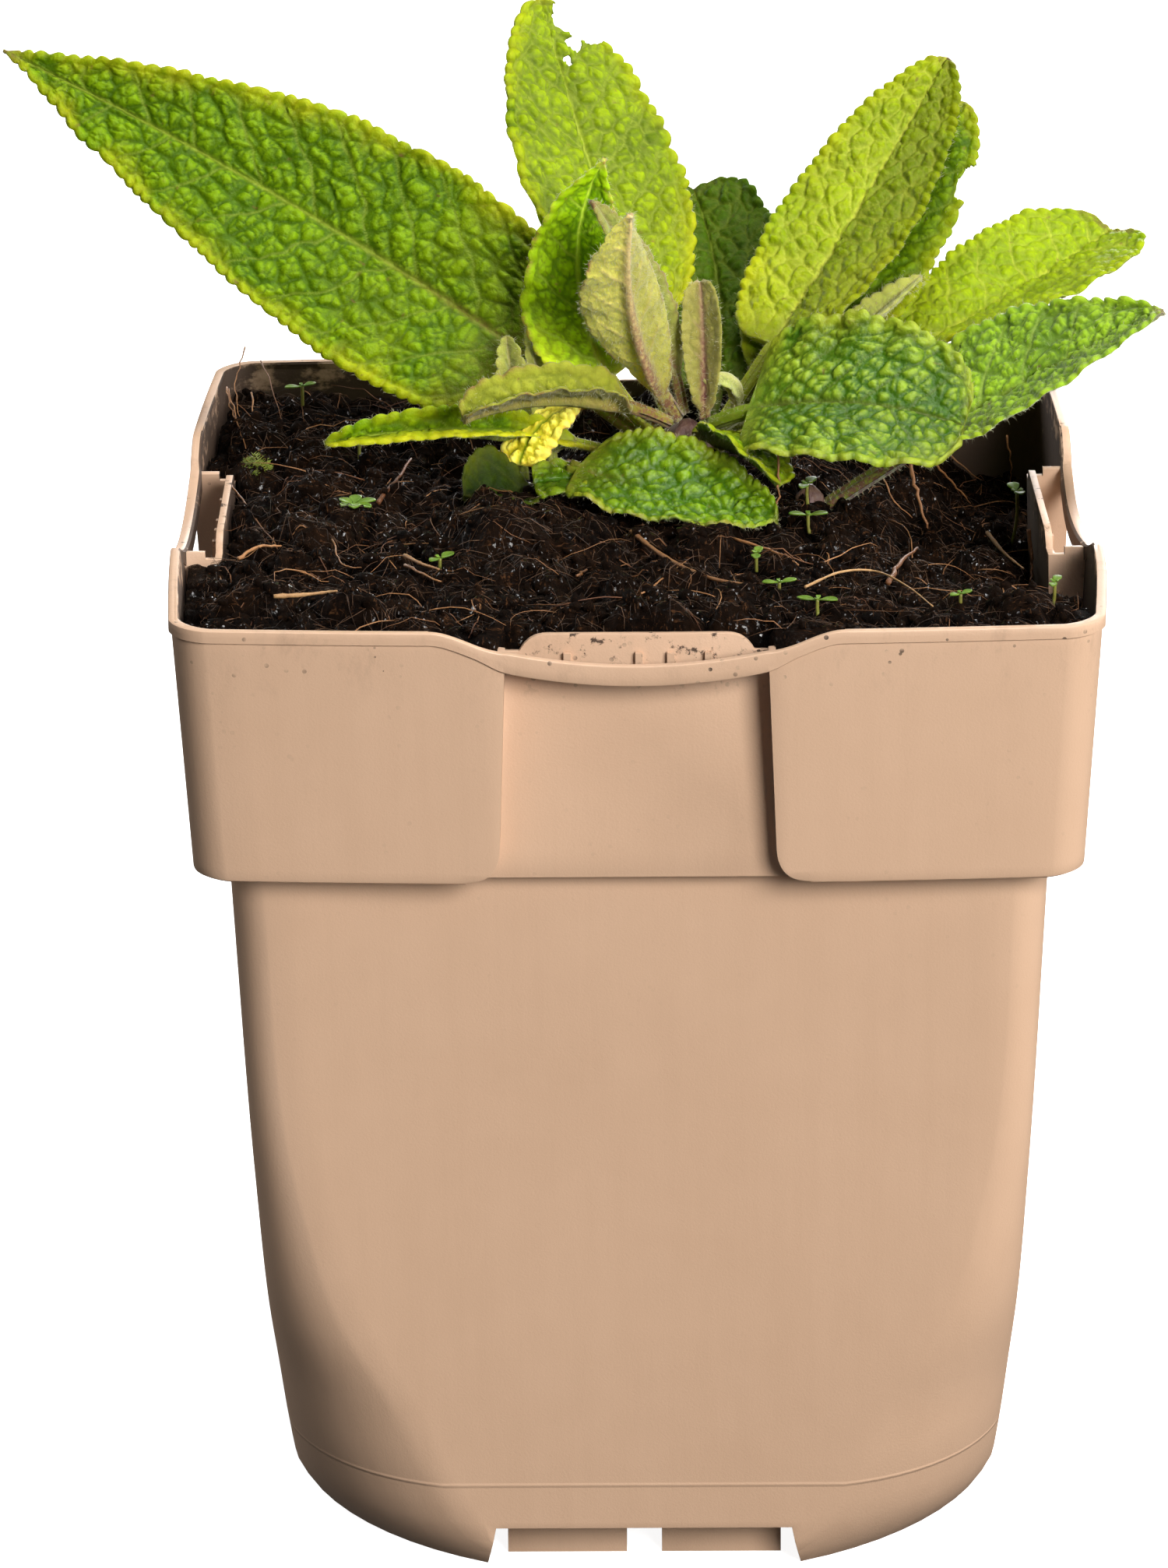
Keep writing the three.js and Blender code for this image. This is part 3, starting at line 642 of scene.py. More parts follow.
@dataclass(frozen=True)
class PotPlastic:
    """Taupe polypropylene: an even satin skin with mould lines, faint flow streaks and peat on the rim."""

    pale: str = "e2bd9f"
    dark: str = "d7b294"
    # peat and smear also paint the inner walls and label plates darker: partly clinging peat, partly painted
    # shade
    peat: str = "2b1d14"
    smear_and_painted_shade: str = "6e5240"
    roughness: float = 0.42
    mould_line: float = 14.0
    dirty_from: float = 134.5
    dirty_to: float = 141.5
    plate_edge: float = 16.5
    plate_front: float = 59.8

    def material(self, effects: Effects) -> Material:
        """Builds the finish.

        Args:
            effects: the shared shader groups.

        Returns:
            The material.
        """
        material, w, shader = new_material("pot_plastic")
        body = w.group(effects.mottle, pale=srgb(self.pale), dark=srgb(self.dark), scale=26.0, spread=1.6)
        streaks = w.band(w.noise(320, 3, 0.5, (1, 1, 0.05)), 0.42, 0.75, 0.0, 0.3)
        color = w.mix(streaks, body.outputs["Color"], srgb(self.dark))
        dirt = w.group(effects.soiling, low=self.dirty_from * MM, high=self.dirty_to * MM, amount=1.0)
        low_dirt = w.group(effects.soiling, low=0.05, high=0.15, amount=0.12)
        # Mask of the inner walls and plates painted darker: partly clinging peat, partly painted shade
        wet = self.clinging_peat_and_painted_shade(w)
        smears = w.math("MAXIMUM", w.times(dirt.outputs["Smears"], 0.3), w.times(wet, 0.85))
        specks = w.math("MAXIMUM", dirt.outputs["Specks"], w.times(low_dirt.outputs["Specks"], 0.9))
        color = w.mix(smears, color, srgb(self.smear_and_painted_shade))
        color = w.mix(w.math("MAXIMUM", specks, w.band(wet, 0.6, 1.0, 0.0, 0.72)), color, srgb(self.peat))
        skin = w.times(w.noise(3200, 3, 0.6), 0.3)
        flow = w.noise(240, 3, 0.5, (1, 1, 0.12))
        line = w.math("ABSOLUTE", w.math("SUBTRACT", w.height(), self.mould_line * MM))
        step = w.times(w.band(line, 0.0, 0.00045, 1.0, 0.0), 0.9)
        relief = w.plus(w.plus(skin, w.times(flow, 0.6)), step)
        rough = w.plus(w.times(w.noise(420, 4, 0.6), 0.14), self.roughness - 0.07)
        rough = w.plus(rough, w.times(w.math("MAXIMUM", smears, specks), 0.35))
        w.feed(shader, base_color=color, roughness=rough, normal=w.bump(relief, 0.00012))
        return material

    def clinging_peat_and_painted_shade(self, w: Wiring) -> Socket:
        """How thickly peat clings to a point: on walls that face the middle, and high on the label plates.

        Args:
            w: the wiring of the finish.

        Returns:
            A mask from 0 to 1: partly peat that clings, partly painted shade on the inner walls and plates.
        """
        place = w.put("ShaderNodeSeparateXYZ", {0: w.place()}).outputs
        normal = w.put("ShaderNodeNewGeometry").outputs["True Normal"]
        facing = w.put("ShaderNodeSeparateXYZ", {0: normal}).outputs
        inward = w.plus(w.times(place[0], facing[0]), w.times(place[1], facing[1]))
        # Walls that face the middle are painted darker, more so lower down: partly peat, partly painted shade
        inner = w.times(w.band(inward, -0.03, -0.01, 1.0, 0.0), w.band(place[2], 0.112, 0.12))
        patches = w.noise(150, 5, 0.65, (1, 1, 1.6))
        low = w.plus(patches, w.band(place[2], 0.132, 0.152, 0.26, 0.0))
        walls = w.times(inner, w.band(low, 0.4, 0.6, 0.35, 1.0))
        across = w.math("MINIMUM", w.math("ABSOLUTE", place[0]), w.math("ABSOLUTE", place[1]))
        out = w.math("MAXIMUM", w.math("ABSOLUTE", place[0]), w.math("ABSOLUTE", place[1]))
        beside = w.band(across, self.plate_edge * MM, (self.plate_edge + 2) * MM, 1.0, 0.0)
        before = w.band(out, self.plate_front * MM, (self.plate_front + 0.6) * MM, 1.0, 0.0)
        plate = w.times(w.times(beside, before), w.band(place[2], 0.134, self.dirty_to * MM))
        return w.math("MAXIMUM", walls, w.times(plate, w.band(w.noise(520, 5, 0.7), 0.56, 0.66)))


@dataclass(frozen=True)
class PeatFinish:
    """Damp dark peat: brown crumbs, black hollows and wet glints."""

    crumb: str = "241509"
    # hollow: near black, used for random dark patches of peat and for the painted shade of low places
    hollow: str = "050201"
    fibre: str = "7a5234"
    roughness: float = 0.8

    def material(self, effects: Effects) -> Material:
        """Builds the finish.

        Args:
            effects: the shared shader groups.

        Returns:
            The material.
        """
        material, w, shader = new_material("peat")
        crumb, hollow = srgb(self.crumb), srgb(self.hollow)
        ground = w.group(effects.mottle, pale=crumb, dark=hollow, scale=190.0, spread=3.6)
        one_way = w.noise(2600, 4, 0.7, (1, 0.1, 0.4))
        other_way = w.noise(2600, 4, 0.7, (0.1, 1, 0.4))
        choice = w.band(w.noise(420, 2), 0.46, 0.54)
        threads = w.put("ShaderNodeMix", {0: choice, 2: one_way, 3: other_way}, data_type="FLOAT").outputs[0]
        color = w.mix(w.band(threads, 0.55, 0.7, 0.0, 0.6), ground.outputs["Color"], srgb(self.fibre))
        # Painted shade: the lower a point stands on its clod, and the skirt by the walls, the nearer to black
        color = w.mix(w.band(w.mark("lift"), 0.05, 0.6, 0.9, 0.0), color, hollow)
        wet = w.times(w.band(w.noise(1500, 3, 0.6), 0.55, 0.64), w.band(w.noise(90, 3), 0.4, 0.6))
        rough = w.math("SUBTRACT", self.roughness, w.times(wet, 0.4))
        relief = w.plus(w.noise(1300, 6, 0.75), w.times(threads, 0.9))
        w.feed(shader, base_color=color, roughness=rough, normal=w.bump(relief, 0.0009))
        w.feed(shader, specular_ior_level=0.07, coat_weight=wet, coat_roughness=0.2)
        return material


@dataclass(frozen=True)
class Fibre:
    """Dry roots and straws, from tan to rust, by the tone on each strand."""

    name: str
    pale: str
    dark: str
    roughness: float = 0.6

    def material(self, effects: Effects) -> Material:
        """Builds the finish.

        Args:
            effects: the shared shader groups.

        Returns:
            The material.
        """
        material, w, shader = new_material(self.name)
        strand = w.mix(w.mark("tone"), srgb(self.dark), srgb(self.pale))
        spots = w.group(effects.mottle, pale=(1, 1, 1, 1), dark=(0.45, 0.36, 0.3, 1), scale=900.0, spread=2.2)
        color = w.mix(1.0, strand, spots.outputs["Color"], "MULTIPLY")
        relief = w.noise(2400, 4, 0.6)
        rough = w.plus(self.roughness - 0.1, w.times(w.noise(800), 0.2))
        w.feed(shader, base_color=color, roughness=rough, normal=w.bump(relief, 0.0002))
        return material


@dataclass(frozen=True)
class Hair:
    """Pale woolly hair."""

    name: str = "leaf_wool"
    color: str = "d9dcb8"

    def material(self, effects: Effects) -> Material:
        """Builds the finish.

        Args:
            effects: the shared shader groups.

        Returns:
            The material.
        """
        material, w, shader = new_material(self.name)
        tint = w.group(effects.mottle, pale=srgb(self.color), dark=srgb("b3a883"), scale=300.0, spread=2.0)
        rough = w.plus(0.45, w.times(w.noise(700), 0.2))
        w.feed(shader, base_color=tint.outputs["Color"], roughness=rough)
        return material


@dataclass(frozen=True)
class LeafFinish:
    """The colours of one leaf's tissues and the gloss of its upper side."""

    slot: str
    dome: str
    # seam: darker green of the creases, partly the leaf's own colour and partly painted shade
    seam: str
    vein: str
    ripe: str
    rust: str
    under: str
    roughness: float = 0.34
    sheen: float = 0.0
    gloss: float = 0.12

    def material(self, name: str, effects: Effects) -> Material:
        """Builds the finish for one leaf.

        Args:
            name: the material's name.
            effects: the shared shader groups.

        Returns:
            The material.
        """
        material, w, shader = new_material(name)
        tissues = {t: srgb(getattr(self, t)) for t in ("dome", "seam", "vein", "ripe", "rust", "under")}
        skin = w.group(effects.blade, **tissues)
        rough = w.plus(skin.outputs["Shine"], self.roughness - 0.12)
        normal = w.bump(skin.outputs["Grain"], 0.00018, 0.9)
        w.feed(shader, base_color=skin.outputs["Color"], roughness=rough, normal=normal)
        w.feed(shader, specular_ior_level=self.gloss, subsurface_weight=0.12, subsurface_scale=0.001)
        shader.inputs["Subsurface Radius"].default_value = (0.6, 1.0, 0.2)
        if self.sheen:
            w.feed(shader, sheen_weight=self.sheen, sheen_roughness=0.5)
        return material


class Tone(Enum):
    """The leaf finishes that the plant shows."""

    LIME = LeafFinish("leaf_lime_green", "9cb40a", "688600", "d0d84c", "c4c018", "7c6238", "a9b45c", 0.42)
    LIGHT = LeafFinish("leaf_lime_green", "94ac0c", "486200", "acba40", "c0be1a", "7c6238", "a9b45c", 0.42)
    MID = LeafFinish("leaf_mid_green", "82a60c", "426800", "9cb03a", "c0be1a", "7d5a37", "9fae62", 0.4)
    LOWER = LeafFinish(
        "leaf_mid_green", "96bc20", "456c00", "a2b850", "bdbc2c", "6b3a3c", "ccd8a8", 0.34, 0.2
    )
    GLOSSY = LeafFinish(
        "leaf_mid_green", "7ca012", "386000", "4a7410", "a8a82c", "8a6a35", "8ea050", 0.28, gloss=0.38
    )
    # A deep green for the leaves that lie in shade, darkened partly with painted shade
    DEEP_WITH_PAINTED_SHADE = LeafFinish("leaf_deep_green", "4e6e00", "304e00", "788a26", "8f9a1a", "6a5632", "56700e", 0.55)
    BLISTERED = LeafFinish(
        "leaf_deep_green", "98b62e", "386600", "6c7e30", "d2cc34", "7d6a38", "86914c", 0.32, gloss=0.34
    )
    WOOLLY = LeafFinish(
        "leaf_woolly_young", "aab84a", "7c8c3a", "b0aa68", "b8b05a", "8f5f48", "b6bc68", 0.6, 0.3
    )
    YOUNG = LeafFinish(
        "leaf_woolly_young", "a8a04e", "82842e", "c0a47c", "b8b05a", "74403c", "b6b252", 0.6, 0.3
    )
    ARCHED = LeafFinish(
        "leaf_lime_green", "a0a52c", "7c8614", "989848", "b8ba40", "8a5a44", "ac9e54", 0.55, 0.2
    )
    YELLOW = LeafFinish("leaf_yellowing", "fcf060", "c8b01c", "4c6a06", "ece06c", "8a5240", "b9ad5a", 0.4)


@dataclass(frozen=True)
class SmallGreen:
    """Seedlings and moss: a tender green that pales towards the tips."""

    name: str
    pale: str
    dark: str

    def material(self, effects: Effects) -> Material:
        """Builds the finish.

        Args:
            effects: the shared shader groups.

        Returns:
            The material.
        """
        material, w, shader = new_material(self.name)
        leaf = w.group(effects.mottle, pale=srgb(self.pale), dark=srgb(self.dark), scale=420.0, spread=2.0)
        color = w.mix(w.mark("tone"), leaf.outputs["Color"], srgb("a8794e"))
        rough = w.plus(0.32, w.times(w.noise(900), 0.25))
        w.feed(shader, base_color=color, roughness=rough, normal=w.bump(w.noise(2500, 3), 0.0001))
        w.feed(shader, subsurface_weight=0.1, subsurface_scale=0.001)
        return material


@dataclass(frozen=True)
class StockSkin:
    """The plum-brown skin of stalk bases, with pale streaks along the stem."""

    pale: str = "8f7458"
    dark: str = "55333a"

    def material(self, effects: Effects) -> Material:
        """Builds the finish.

        Args:
            effects: the shared shader groups.

        Returns:
            The material.
        """
        material, w, shader = new_material("stock_skin")
        skin = w.group(effects.mottle, pale=srgb(self.pale), dark=srgb(self.dark), scale=200.0, spread=2.6)
        streaks = w.band(w.noise(1200, 3, 0.6, (1, 1, 0.08)), 0.45, 0.7, 0.0, 0.6)
        color = w.mix(streaks, skin.outputs["Color"], srgb(self.dark))
        relief = w.noise(1100, 4, 0.6, (1, 1, 0.15))
        rough = w.plus(0.4, w.times(w.noise(600), 0.2))
        w.feed(shader, base_color=color, roughness=rough, normal=w.bump(relief, 0.0004))
        return material


# ---------- Modelling by hand ----------
def deselect() -> None:
    """Leaves edit mode and deselects every object."""
    if bpy.context.mode != "OBJECT":
        bpy.ops.object.mode_set(mode="OBJECT")
    bpy.ops.object.select_all(action="DESELECT")


def activate(piece: Piece) -> None:
    """Selects one object and nothing else.

    Args:
        piece: the object.
    """
    deselect()
    piece.select_set(True)
    bpy.context.view_layer.objects.active = piece


def drawn_out(name: str, rings: Sequence[Array]) -> Piece:
    """A closed body: a filled circle that is shaped to the first ring and extruded to the others.

    Args:
        name: the body's name.
        rings: outlines with the same number of points, in order.

    Returns:
        The body, with its faces outwards.
    """
    deselect()
    bpy.ops.mesh.primitive_circle_add(vertices=len(rings[0]), radius=1.0, fill_type="NGON")
    piece = bpy.context.object
    piece.name = name
    bpy.ops.object.mode_set(mode="EDIT")
    mesh = bmesh.from_edit_mesh(piece.data)
    mesh.verts.ensure_lookup_table()
    ring_now = list(range(len(rings[0])))
    for index, point in zip(ring_now, rings[0]):
        mesh.verts[index].co = Vector(point) * MM
    for ring in rings[1:]:
        bmesh.update_edit_mesh(piece.data)
        bpy.ops.mesh.extrude_region_move(TRANSFORM_OT_translate={"value": (0, 0, 0)})
        mesh = bmesh.from_edit_mesh(piece.data)
        mesh.verts.index_update()
        mesh.verts.ensure_lookup_table()
        raised = {}
        for vert in (v for v in mesh.verts if v.select):
            below = next(e.other_vert(vert) for e in vert.link_edges if not e.other_vert(vert).select)
            raised[below.index] = vert
        ring_now = [raised[index].index for index in ring_now]
        for index, point in zip(ring_now, ring):
            mesh.verts[index].co = Vector(point) * MM
    bmesh.update_edit_mesh(piece.data)
    bpy.ops.mesh.select_all(action="SELECT")
    bpy.ops.mesh.normals_make_consistent(inside=False)
    bpy.ops.object.mode_set(mode="OBJECT")
    return piece


def joined(pieces: Sequence[Piece]) -> Piece:
    """Joins bodies into the first of them.

    Args:
        pieces: the bodies.

    Returns:
        The first body, with the others in it.
    """
    activate(pieces[0])
    for piece in pieces[1:]:
        piece.select_set(True)
    bpy.ops.object.join()
    return pieces[0]


def on_four_sides(piece: Piece) -> Piece:
    """Copies a body to the pot's other three sides and joins the copies.

    Args:
        piece: the body on the first side.

    Returns:
        The body on all four sides.
    """
    copies = [piece]
    for turn in range(1, 4):
        copy = piece.copy()
        copy.data = piece.data.copy()
        copy.data.transform(Matrix.Rotation(turn * math.pi / 2, 4, "Z"))
        bpy.context.scene.collection.objects.link(copy)
        copies.append(copy)
    return joined(copies)


class Carve(Enum):
    """What a tool body does to the body it meets."""

    CUT = "DIFFERENCE"
    WELD = "UNION"


def carve(body: Piece, tool: Piece, how: Carve) -> None:
    """Cuts a tool body out of another body, or welds it on, and removes the tool.

    Args:
        body: the body that changes.
        tool: the tool body.
        how: what the tool does to it.
    """
    activate(body)
    modifier = body.modifiers.new(how.name.lower(), "BOOLEAN")
    modifier.operation = how.value
    modifier.solver = "EXACT"
    modifier.object = tool
    modifier.show_viewport = False
    bpy.ops.object.modifier_apply(modifier=modifier.name)
    bpy.data.objects.remove(tool)


def slab(name: str, outline: Array, near: float, far: float) -> Piece:
    """A plate drawn as (along the side, height), between two distances in front of the axis."""
    rings = [np.column_stack([outline[:, 0], np.full(len(outline), -d), outline[:, 1]]) for d in (near, far)]
    return drawn_out(name, rings)


def bowed(start: Sequence[float], pull: Sequence[float], end: Sequence[float], steps: int) -> Array:
    """A quadratic bend without its last point.

    Args:
        start: where it starts.
        pull: the point that it bends towards.
        end: where it ends.
        steps: how many points it has.

    Returns:
        Its points.
    """
    t = np.linspace(0, 1, steps, endpoint=False)[:, None]
    a, b, c = (np.asarray(p, float) for p in (start, pull, end))
    return (1 - t) ** 2 * a + 2 * t * (1 - t) * b + t**2 * c


# ---------- Pot ----------
def pulled_in(points: Array, depth: float = 2.4) -> Array:
    """Moves points along with the pot's right wall, which has given way towards the rear.

    Args:
        points: places before.
        depth: how far the wall has moved at its rim.

    Returns:
        Their places now.
    """
    x, y, z = points[..., 0], points[..., 1], points[..., 2]
    share = smooth(x, 20, 62) * smooth(y, -40, 10) * smooth(z, 60, 146)
    moved = points.copy()
    moved[..., 0] -= depth * share
    return moved


QUARTER_TURNS = ((1, 0), (0, 1), (-1, 0), (0, -1))


@dataclass(frozen=True)
class Level:
    """One level of the pot: its height, half-width across the flats, and half-width of a flat."""

    z: float
    half: float
    flat: float
    bulge: float = 0.0


@dataclass
class Pot:
    """A square injection-moulded nursery pot with a deep collar and a label bay on each side."""

    rim: float = 146.0
    collar: float = 109.0
    floor: float = 7.0
    floor_thickness: float = 1.2
    wall: float = 1.0
    body: tuple[Level, ...] = (
        Level(0, 50, 14),
        Level(5, 50.4, 22),
        Level(14, 51.2, 28.5),
        Level(26, 52.2, 34),
        Level(38, 53, 41),
        Level(60, 54.1, 47.5),
        Level(109, 56.3, 51.5),
    )
    collar_levels: tuple[Level, ...] = (Level(109, 60.9, 56, 2), Level(146, 63, 58, 2))
    corner_slack: float = 0.35
    plate: float = 59.3
    plate_top: float = 144.0
    bay_top: float = 17.4
    bay_foot: float = 19.0
    bay_flare: float = 4.5
    plate_half: float = 14.7
    lip_middle: float = 141.2
    lip_ends: float = 143.0
    dip: float = 28.0
    ribs: tuple[float, ...] = (-9.4, 0.3, 4.6, 9.7)
    notch_top: float = 21.0
    notch_foot: float = 22.5
    foot_width: float = 17.0
    foot_depth: float = 3.0
    foot_set_back: float = 6.5
    pad_radius: float = 9.0
    drain_radius: float = 4.0
    drain_ring: float = 30.0
    drains: int = 8
    flat_steps: int = 22
    corner_steps: int = 12

    def section(self, level: Level, inset: float = 0.0) -> Array:
        """The outline of one level, counter-clockwise.

        Args:
            level: the level's sizes.
            inset: how far inside the outer skin the outline runs.

        Returns:
            Its points.
        """
        side = level.half - inset
        edge = level.flat - inset * 0.6
        centre = edge - self.corner_slack * (side - edge)
        reach = math.hypot(edge - centre, side - centre)
        start = math.atan2(edge - centre, side - centre)
        along = np.linspace(-edge, edge, self.flat_steps, endpoint=False)
        flat = np.column_stack([side + level.bulge * (1 - (along / edge) ** 2), along])
        turn = np.linspace(start, math.pi / 2 - start, self.corner_steps, endpoint=False)
        corner = np.column_stack([centre + reach * np.cos(turn), centre + reach * np.sin(turn)])
        quarter = np.concatenate([flat, corner])
        sides = []
        x, y = quarter.T
        for c, s in QUARTER_TURNS:
            sides.append(np.column_stack([c * x - s * y, s * x + c * y]))
        ring = np.concatenate(sides)
        return np.column_stack([ring, np.full(len(ring), level.z)])

    def level_at(self, profile: Sequence[Level], z: float) -> Level:
        """The sizes at a height, on a smooth line through a profile's stations.

        Args:
            profile: the stations.
            z: the height.

        Returns:
            The level.
        """
        heights = np.array([s.z for s in profile])
        sizes = {}
        for name in ("half", "flat", "bulge"):
            values = np.array([getattr(s, name) for s in profile])
            slopes = np.gradient(values, heights)
            i = int(np.clip(np.searchsorted(heights, z) - 1, 0, len(heights) - 2))
            h = heights[i + 1] - heights[i]
            t = (z - heights[i]) / h
            rise = values[i] * (1 + 2 * t) * (1 - t) ** 2 + values[i + 1] * t**2 * (3 - 2 * t)
            sizes[name] = rise + h * (slopes[i] * t * (1 - t) ** 2 + slopes[i + 1] * t**2 * (t - 1))
        return Level(z, **sizes)

    def skin(self, name: str, profile: Sequence[Level], heights: Sequence[float], inset: float) -> Piece:
        """A closed body between heights of a profile."""
        return drawn_out(name, [self.section(self.level_at(profile, z), inset) for z in heights])

    def outside(self) -> Piece:
        """Welds the body and the collar.

        Returns:
            The pot as one solid.
        """
        body = self.skin("pot", self.body, [0, 2.5, 5, 8, 11, *np.linspace(14, 104, 31), 107, 110.5], 0)
        collar = self.skin("collar", self.collar_levels, [109, 109.3, 109.8, *np.linspace(111, 146, 12)], 0)
        self.round_foot(collar)
        carve(body, collar, Carve.WELD)
        return body

    def round_foot(self, collar: Piece) -> None:
        """Draws the collar's lowest levels in, so that its foot is rounded.

        Args:
            collar: the collar's body.
        """
        for vert in collar.data.vertices:
            rise = vert.co.z / MM - self.collar
            if rise < 0.9:
                pull = 0.7 * (1 - math.sqrt(max(0.0, 1 - (1 - rise / 0.9) ** 2)))
                out = Vector((vert.co.x, vert.co.y, 0.0))
                if out.length > 0.05:
                    vert.co -= out.normalized() * pull * MM

    def inside(self) -> Piece:
        """Draws the space that the soil fills.

        Returns:
            The space as one solid.
        """
        low = self.floor + self.floor_thickness
        body = self.skin("space", self.body, [low, 10, *np.linspace(14, 109, 33), 111.2], self.wall)
        heights = [*np.linspace(self.collar + self.wall, 146, 13), 151]
        collar = self.skin("collar_space", self.collar_levels, heights, self.wall)
        carve(body, collar, Carve.WELD)
        carve(body, on_four_sides(slab("bay", self.bay(self.wall), self.plate - self.wall, 75)), Carve.CUT)
        return body

    def bay(self, grow: float) -> Array:
        """The label bay's outline, with flared lower corners.

        Args:
            grow: how far it runs outside the bay.

        Returns:
            Its points.
        """
        foot = self.collar - 1
        turn = self.collar + 0.4
        spread = self.bay_foot + self.bay_flare + grow
        side = self.bay_foot + grow
        corner = bowed((spread, turn), (side, turn), (side - 0.2, self.collar + self.bay_flare + 0.8), 10)
        right = np.concatenate([[(spread, foot)], corner, [(side - 0.2, self.collar + self.bay_flare + 0.8)]])
        right = np.concatenate([right, [(self.bay_top + grow, self.rim + 6)]])
        return np.concatenate([right, right[::-1] * (-1, 1)])

    def rim_height(self, along: Array) -> Array:
        """Height of the rim, which swings down to the lip's shallow arc in the middle of a side.

        Args:
            along: distance from the middle of the side.

        Returns:
            The heights.
        """
        across = np.abs(along)
        arc = self.lip_middle + (self.lip_ends - self.lip_middle) * (across / self.bay_top) ** 2
        swing = smooth(across, self.bay_top, self.dip)
        outer = self.lip_ends + (self.rim - self.lip_ends) * swing
        return np.where(across < self.bay_top, arc, outer)

    def dip_outline(self) -> Array:
        """Draws what the rim loses in the middle of a side.

        Returns:
            The outline's points.
        """
        along = np.linspace(-self.dip, self.dip, 57)
        edge = np.column_stack([along, self.rim_height(along) - 0.4])
        return np.concatenate([edge, [(self.dip, self.rim + 5), (-self.dip, self.rim + 5)]])

    def plate_outline(self) -> Array:
        """Draws what is cut off the label plate, which leaves a straight top with rounded corners.

        Returns:
            The outline's points.
        """
        out, high, low = self.bay_top + 1.5, self.plate_top + 6, self.plate_top - 2.4
        half = self.plate_half
        corner = bowed((half + 1.2, low), (half, self.plate_top), (half - 2.6, self.plate_top), 8)
        right = np.concatenate([[(out, high), (out, low)], corner, [(half - 2.6, self.plate_top)]])
        return np.concatenate([right, right[::-1] * (-1, 1)])

    def box(self, left: float, right: float, low: float, high: float) -> Array:
        """An upright rectangle."""
        return np.array([(left, low), (right, low), (right, high), (left, high)], float)

    def rim_band(self, marks: Sheet) -> None:
        """Lays the rounded rim on the sheet: a flange that thickens into a strap across each label bay.

        Args:
            marks: the sheet.
        """
        edge = self.collar_levels[1].flat
        side = np.concatenate([np.linspace(-edge, -self.dip - 0.5, 12), np.linspace(-self.dip, self.dip, 97)])
        side = np.concatenate([side, np.linspace(self.dip + 0.5, edge, 12)[:-1]])
        high = self.rim_height(side)
        half = self.level_at(self.collar_levels, self.rim).half
        lean = (self.collar_levels[1].half - self.collar_levels[0].half) / (self.rim - self.collar)
        out = half + 2 * (1 - (side / edge) ** 2) - lean * (self.rim - high)
        strap = 1 - smooth(np.abs(side), self.bay_top - 0.6, self.bay_top + 4.5)
        normal = np.column_stack([np.ones(len(side)), 4 * side / edge**2, np.zeros(len(side))])
        place = np.column_stack([out, side, high])
        corner = self.section(Level(self.rim, half, edge, 2))[self.flat_steps :][: self.corner_steps]
        turn = np.linspace(0.16, math.pi / 2 - 0.16, self.corner_steps)
        corner_normal = np.column_stack([np.cos(turn), np.sin(turn), np.zeros(self.corner_steps)])
        place = np.concatenate([place, corner])
        normal = unit(np.concatenate([normal, corner_normal]))
        strap = np.concatenate([strap, np.zeros(self.corner_steps)])
        proud = 0.32 - 0.12 * strap
        depth = 1.75 + 1.0 * strap
        thick = self.wall + 0.1 + 0.45 * strap
        profile = [(-1, 0.25), (-0.75, 0.02), (-0.3, -0.02), (0.3, -0.02), (0.75, 0.05), (1, 0.3), (1, 0.62)]
        profile += [(0.92, 0.95), (0.4, 1.0), (-1, 1.0)]
        rings = []
        for across, down in profile:
            outward = across * (proud if across > 0 else thick)
            drop = 0.35 * (down / 0.3) if down < 0.3 else 0.35 + (down - 0.3) / 0.7 * (depth - 0.35)
            fall = np.column_stack([0 * depth, 0 * depth, drop + 0 * depth])
            rings.append(place + normal * outward[:, None] - fall)
        quarter = np.stack(rings, axis=1)
        quarters = [quarter @ np.array([[c, s, 0], [-s, c, 0], [0, 0, 1]]) for c, s in QUARTER_TURNS]
        ring = np.concatenate(quarters)
        n, k = ring.shape[:2]
        i, j = np.meshgrid(np.arange(n), np.arange(k), indexing="ij")
        a = i * k + j
        b = i * k + (j + 1) % k
        c = ((i + 1) % n) * k + (j + 1) % k
        d = ((i + 1) % n) * k + j
        marks.add(ring, [np.stack([a, d, c, b], axis=-1).reshape(-1, 4)])

    def give_way(self, piece: Piece) -> None:
        """Pulls the right wall in towards the rear.

        Args:
            piece: the pot.
        """
        points = np.empty(len(piece.data.vertices) * 3)
        piece.data.vertices.foreach_get("co", points)
        points = pulled_in(points.reshape(-1, 3) / MM)
        piece.data.vertices.foreach_set("co", (points * MM).ravel())
        piece.data.update()

    def undercut(self) -> Piece:
        """Draws the shallow hollow under the floor.

        Returns:
            The hollow as one tool.
        """
        heights = [-1, 2.5, 5, self.floor]
        rings = [self.section(self.level_at(self.body, max(z, 0)), self.wall + 0.2) for z in heights]
        rings[0][:, 2] = -1
        return drawn_out("undercut", rings)

    def plate_ribs(self) -> Piece:
        """The short ribs on the label plates, laid on so that the flat plates stay undivided."""
        outlines = [self.box(x - 0.5, x + 0.5, 137.2, 141.5) for x in self.ribs]
        return on_four_sides(joined([slab("rib", o, self.plate - 0.3, self.plate + 0.8) for o in outlines]))

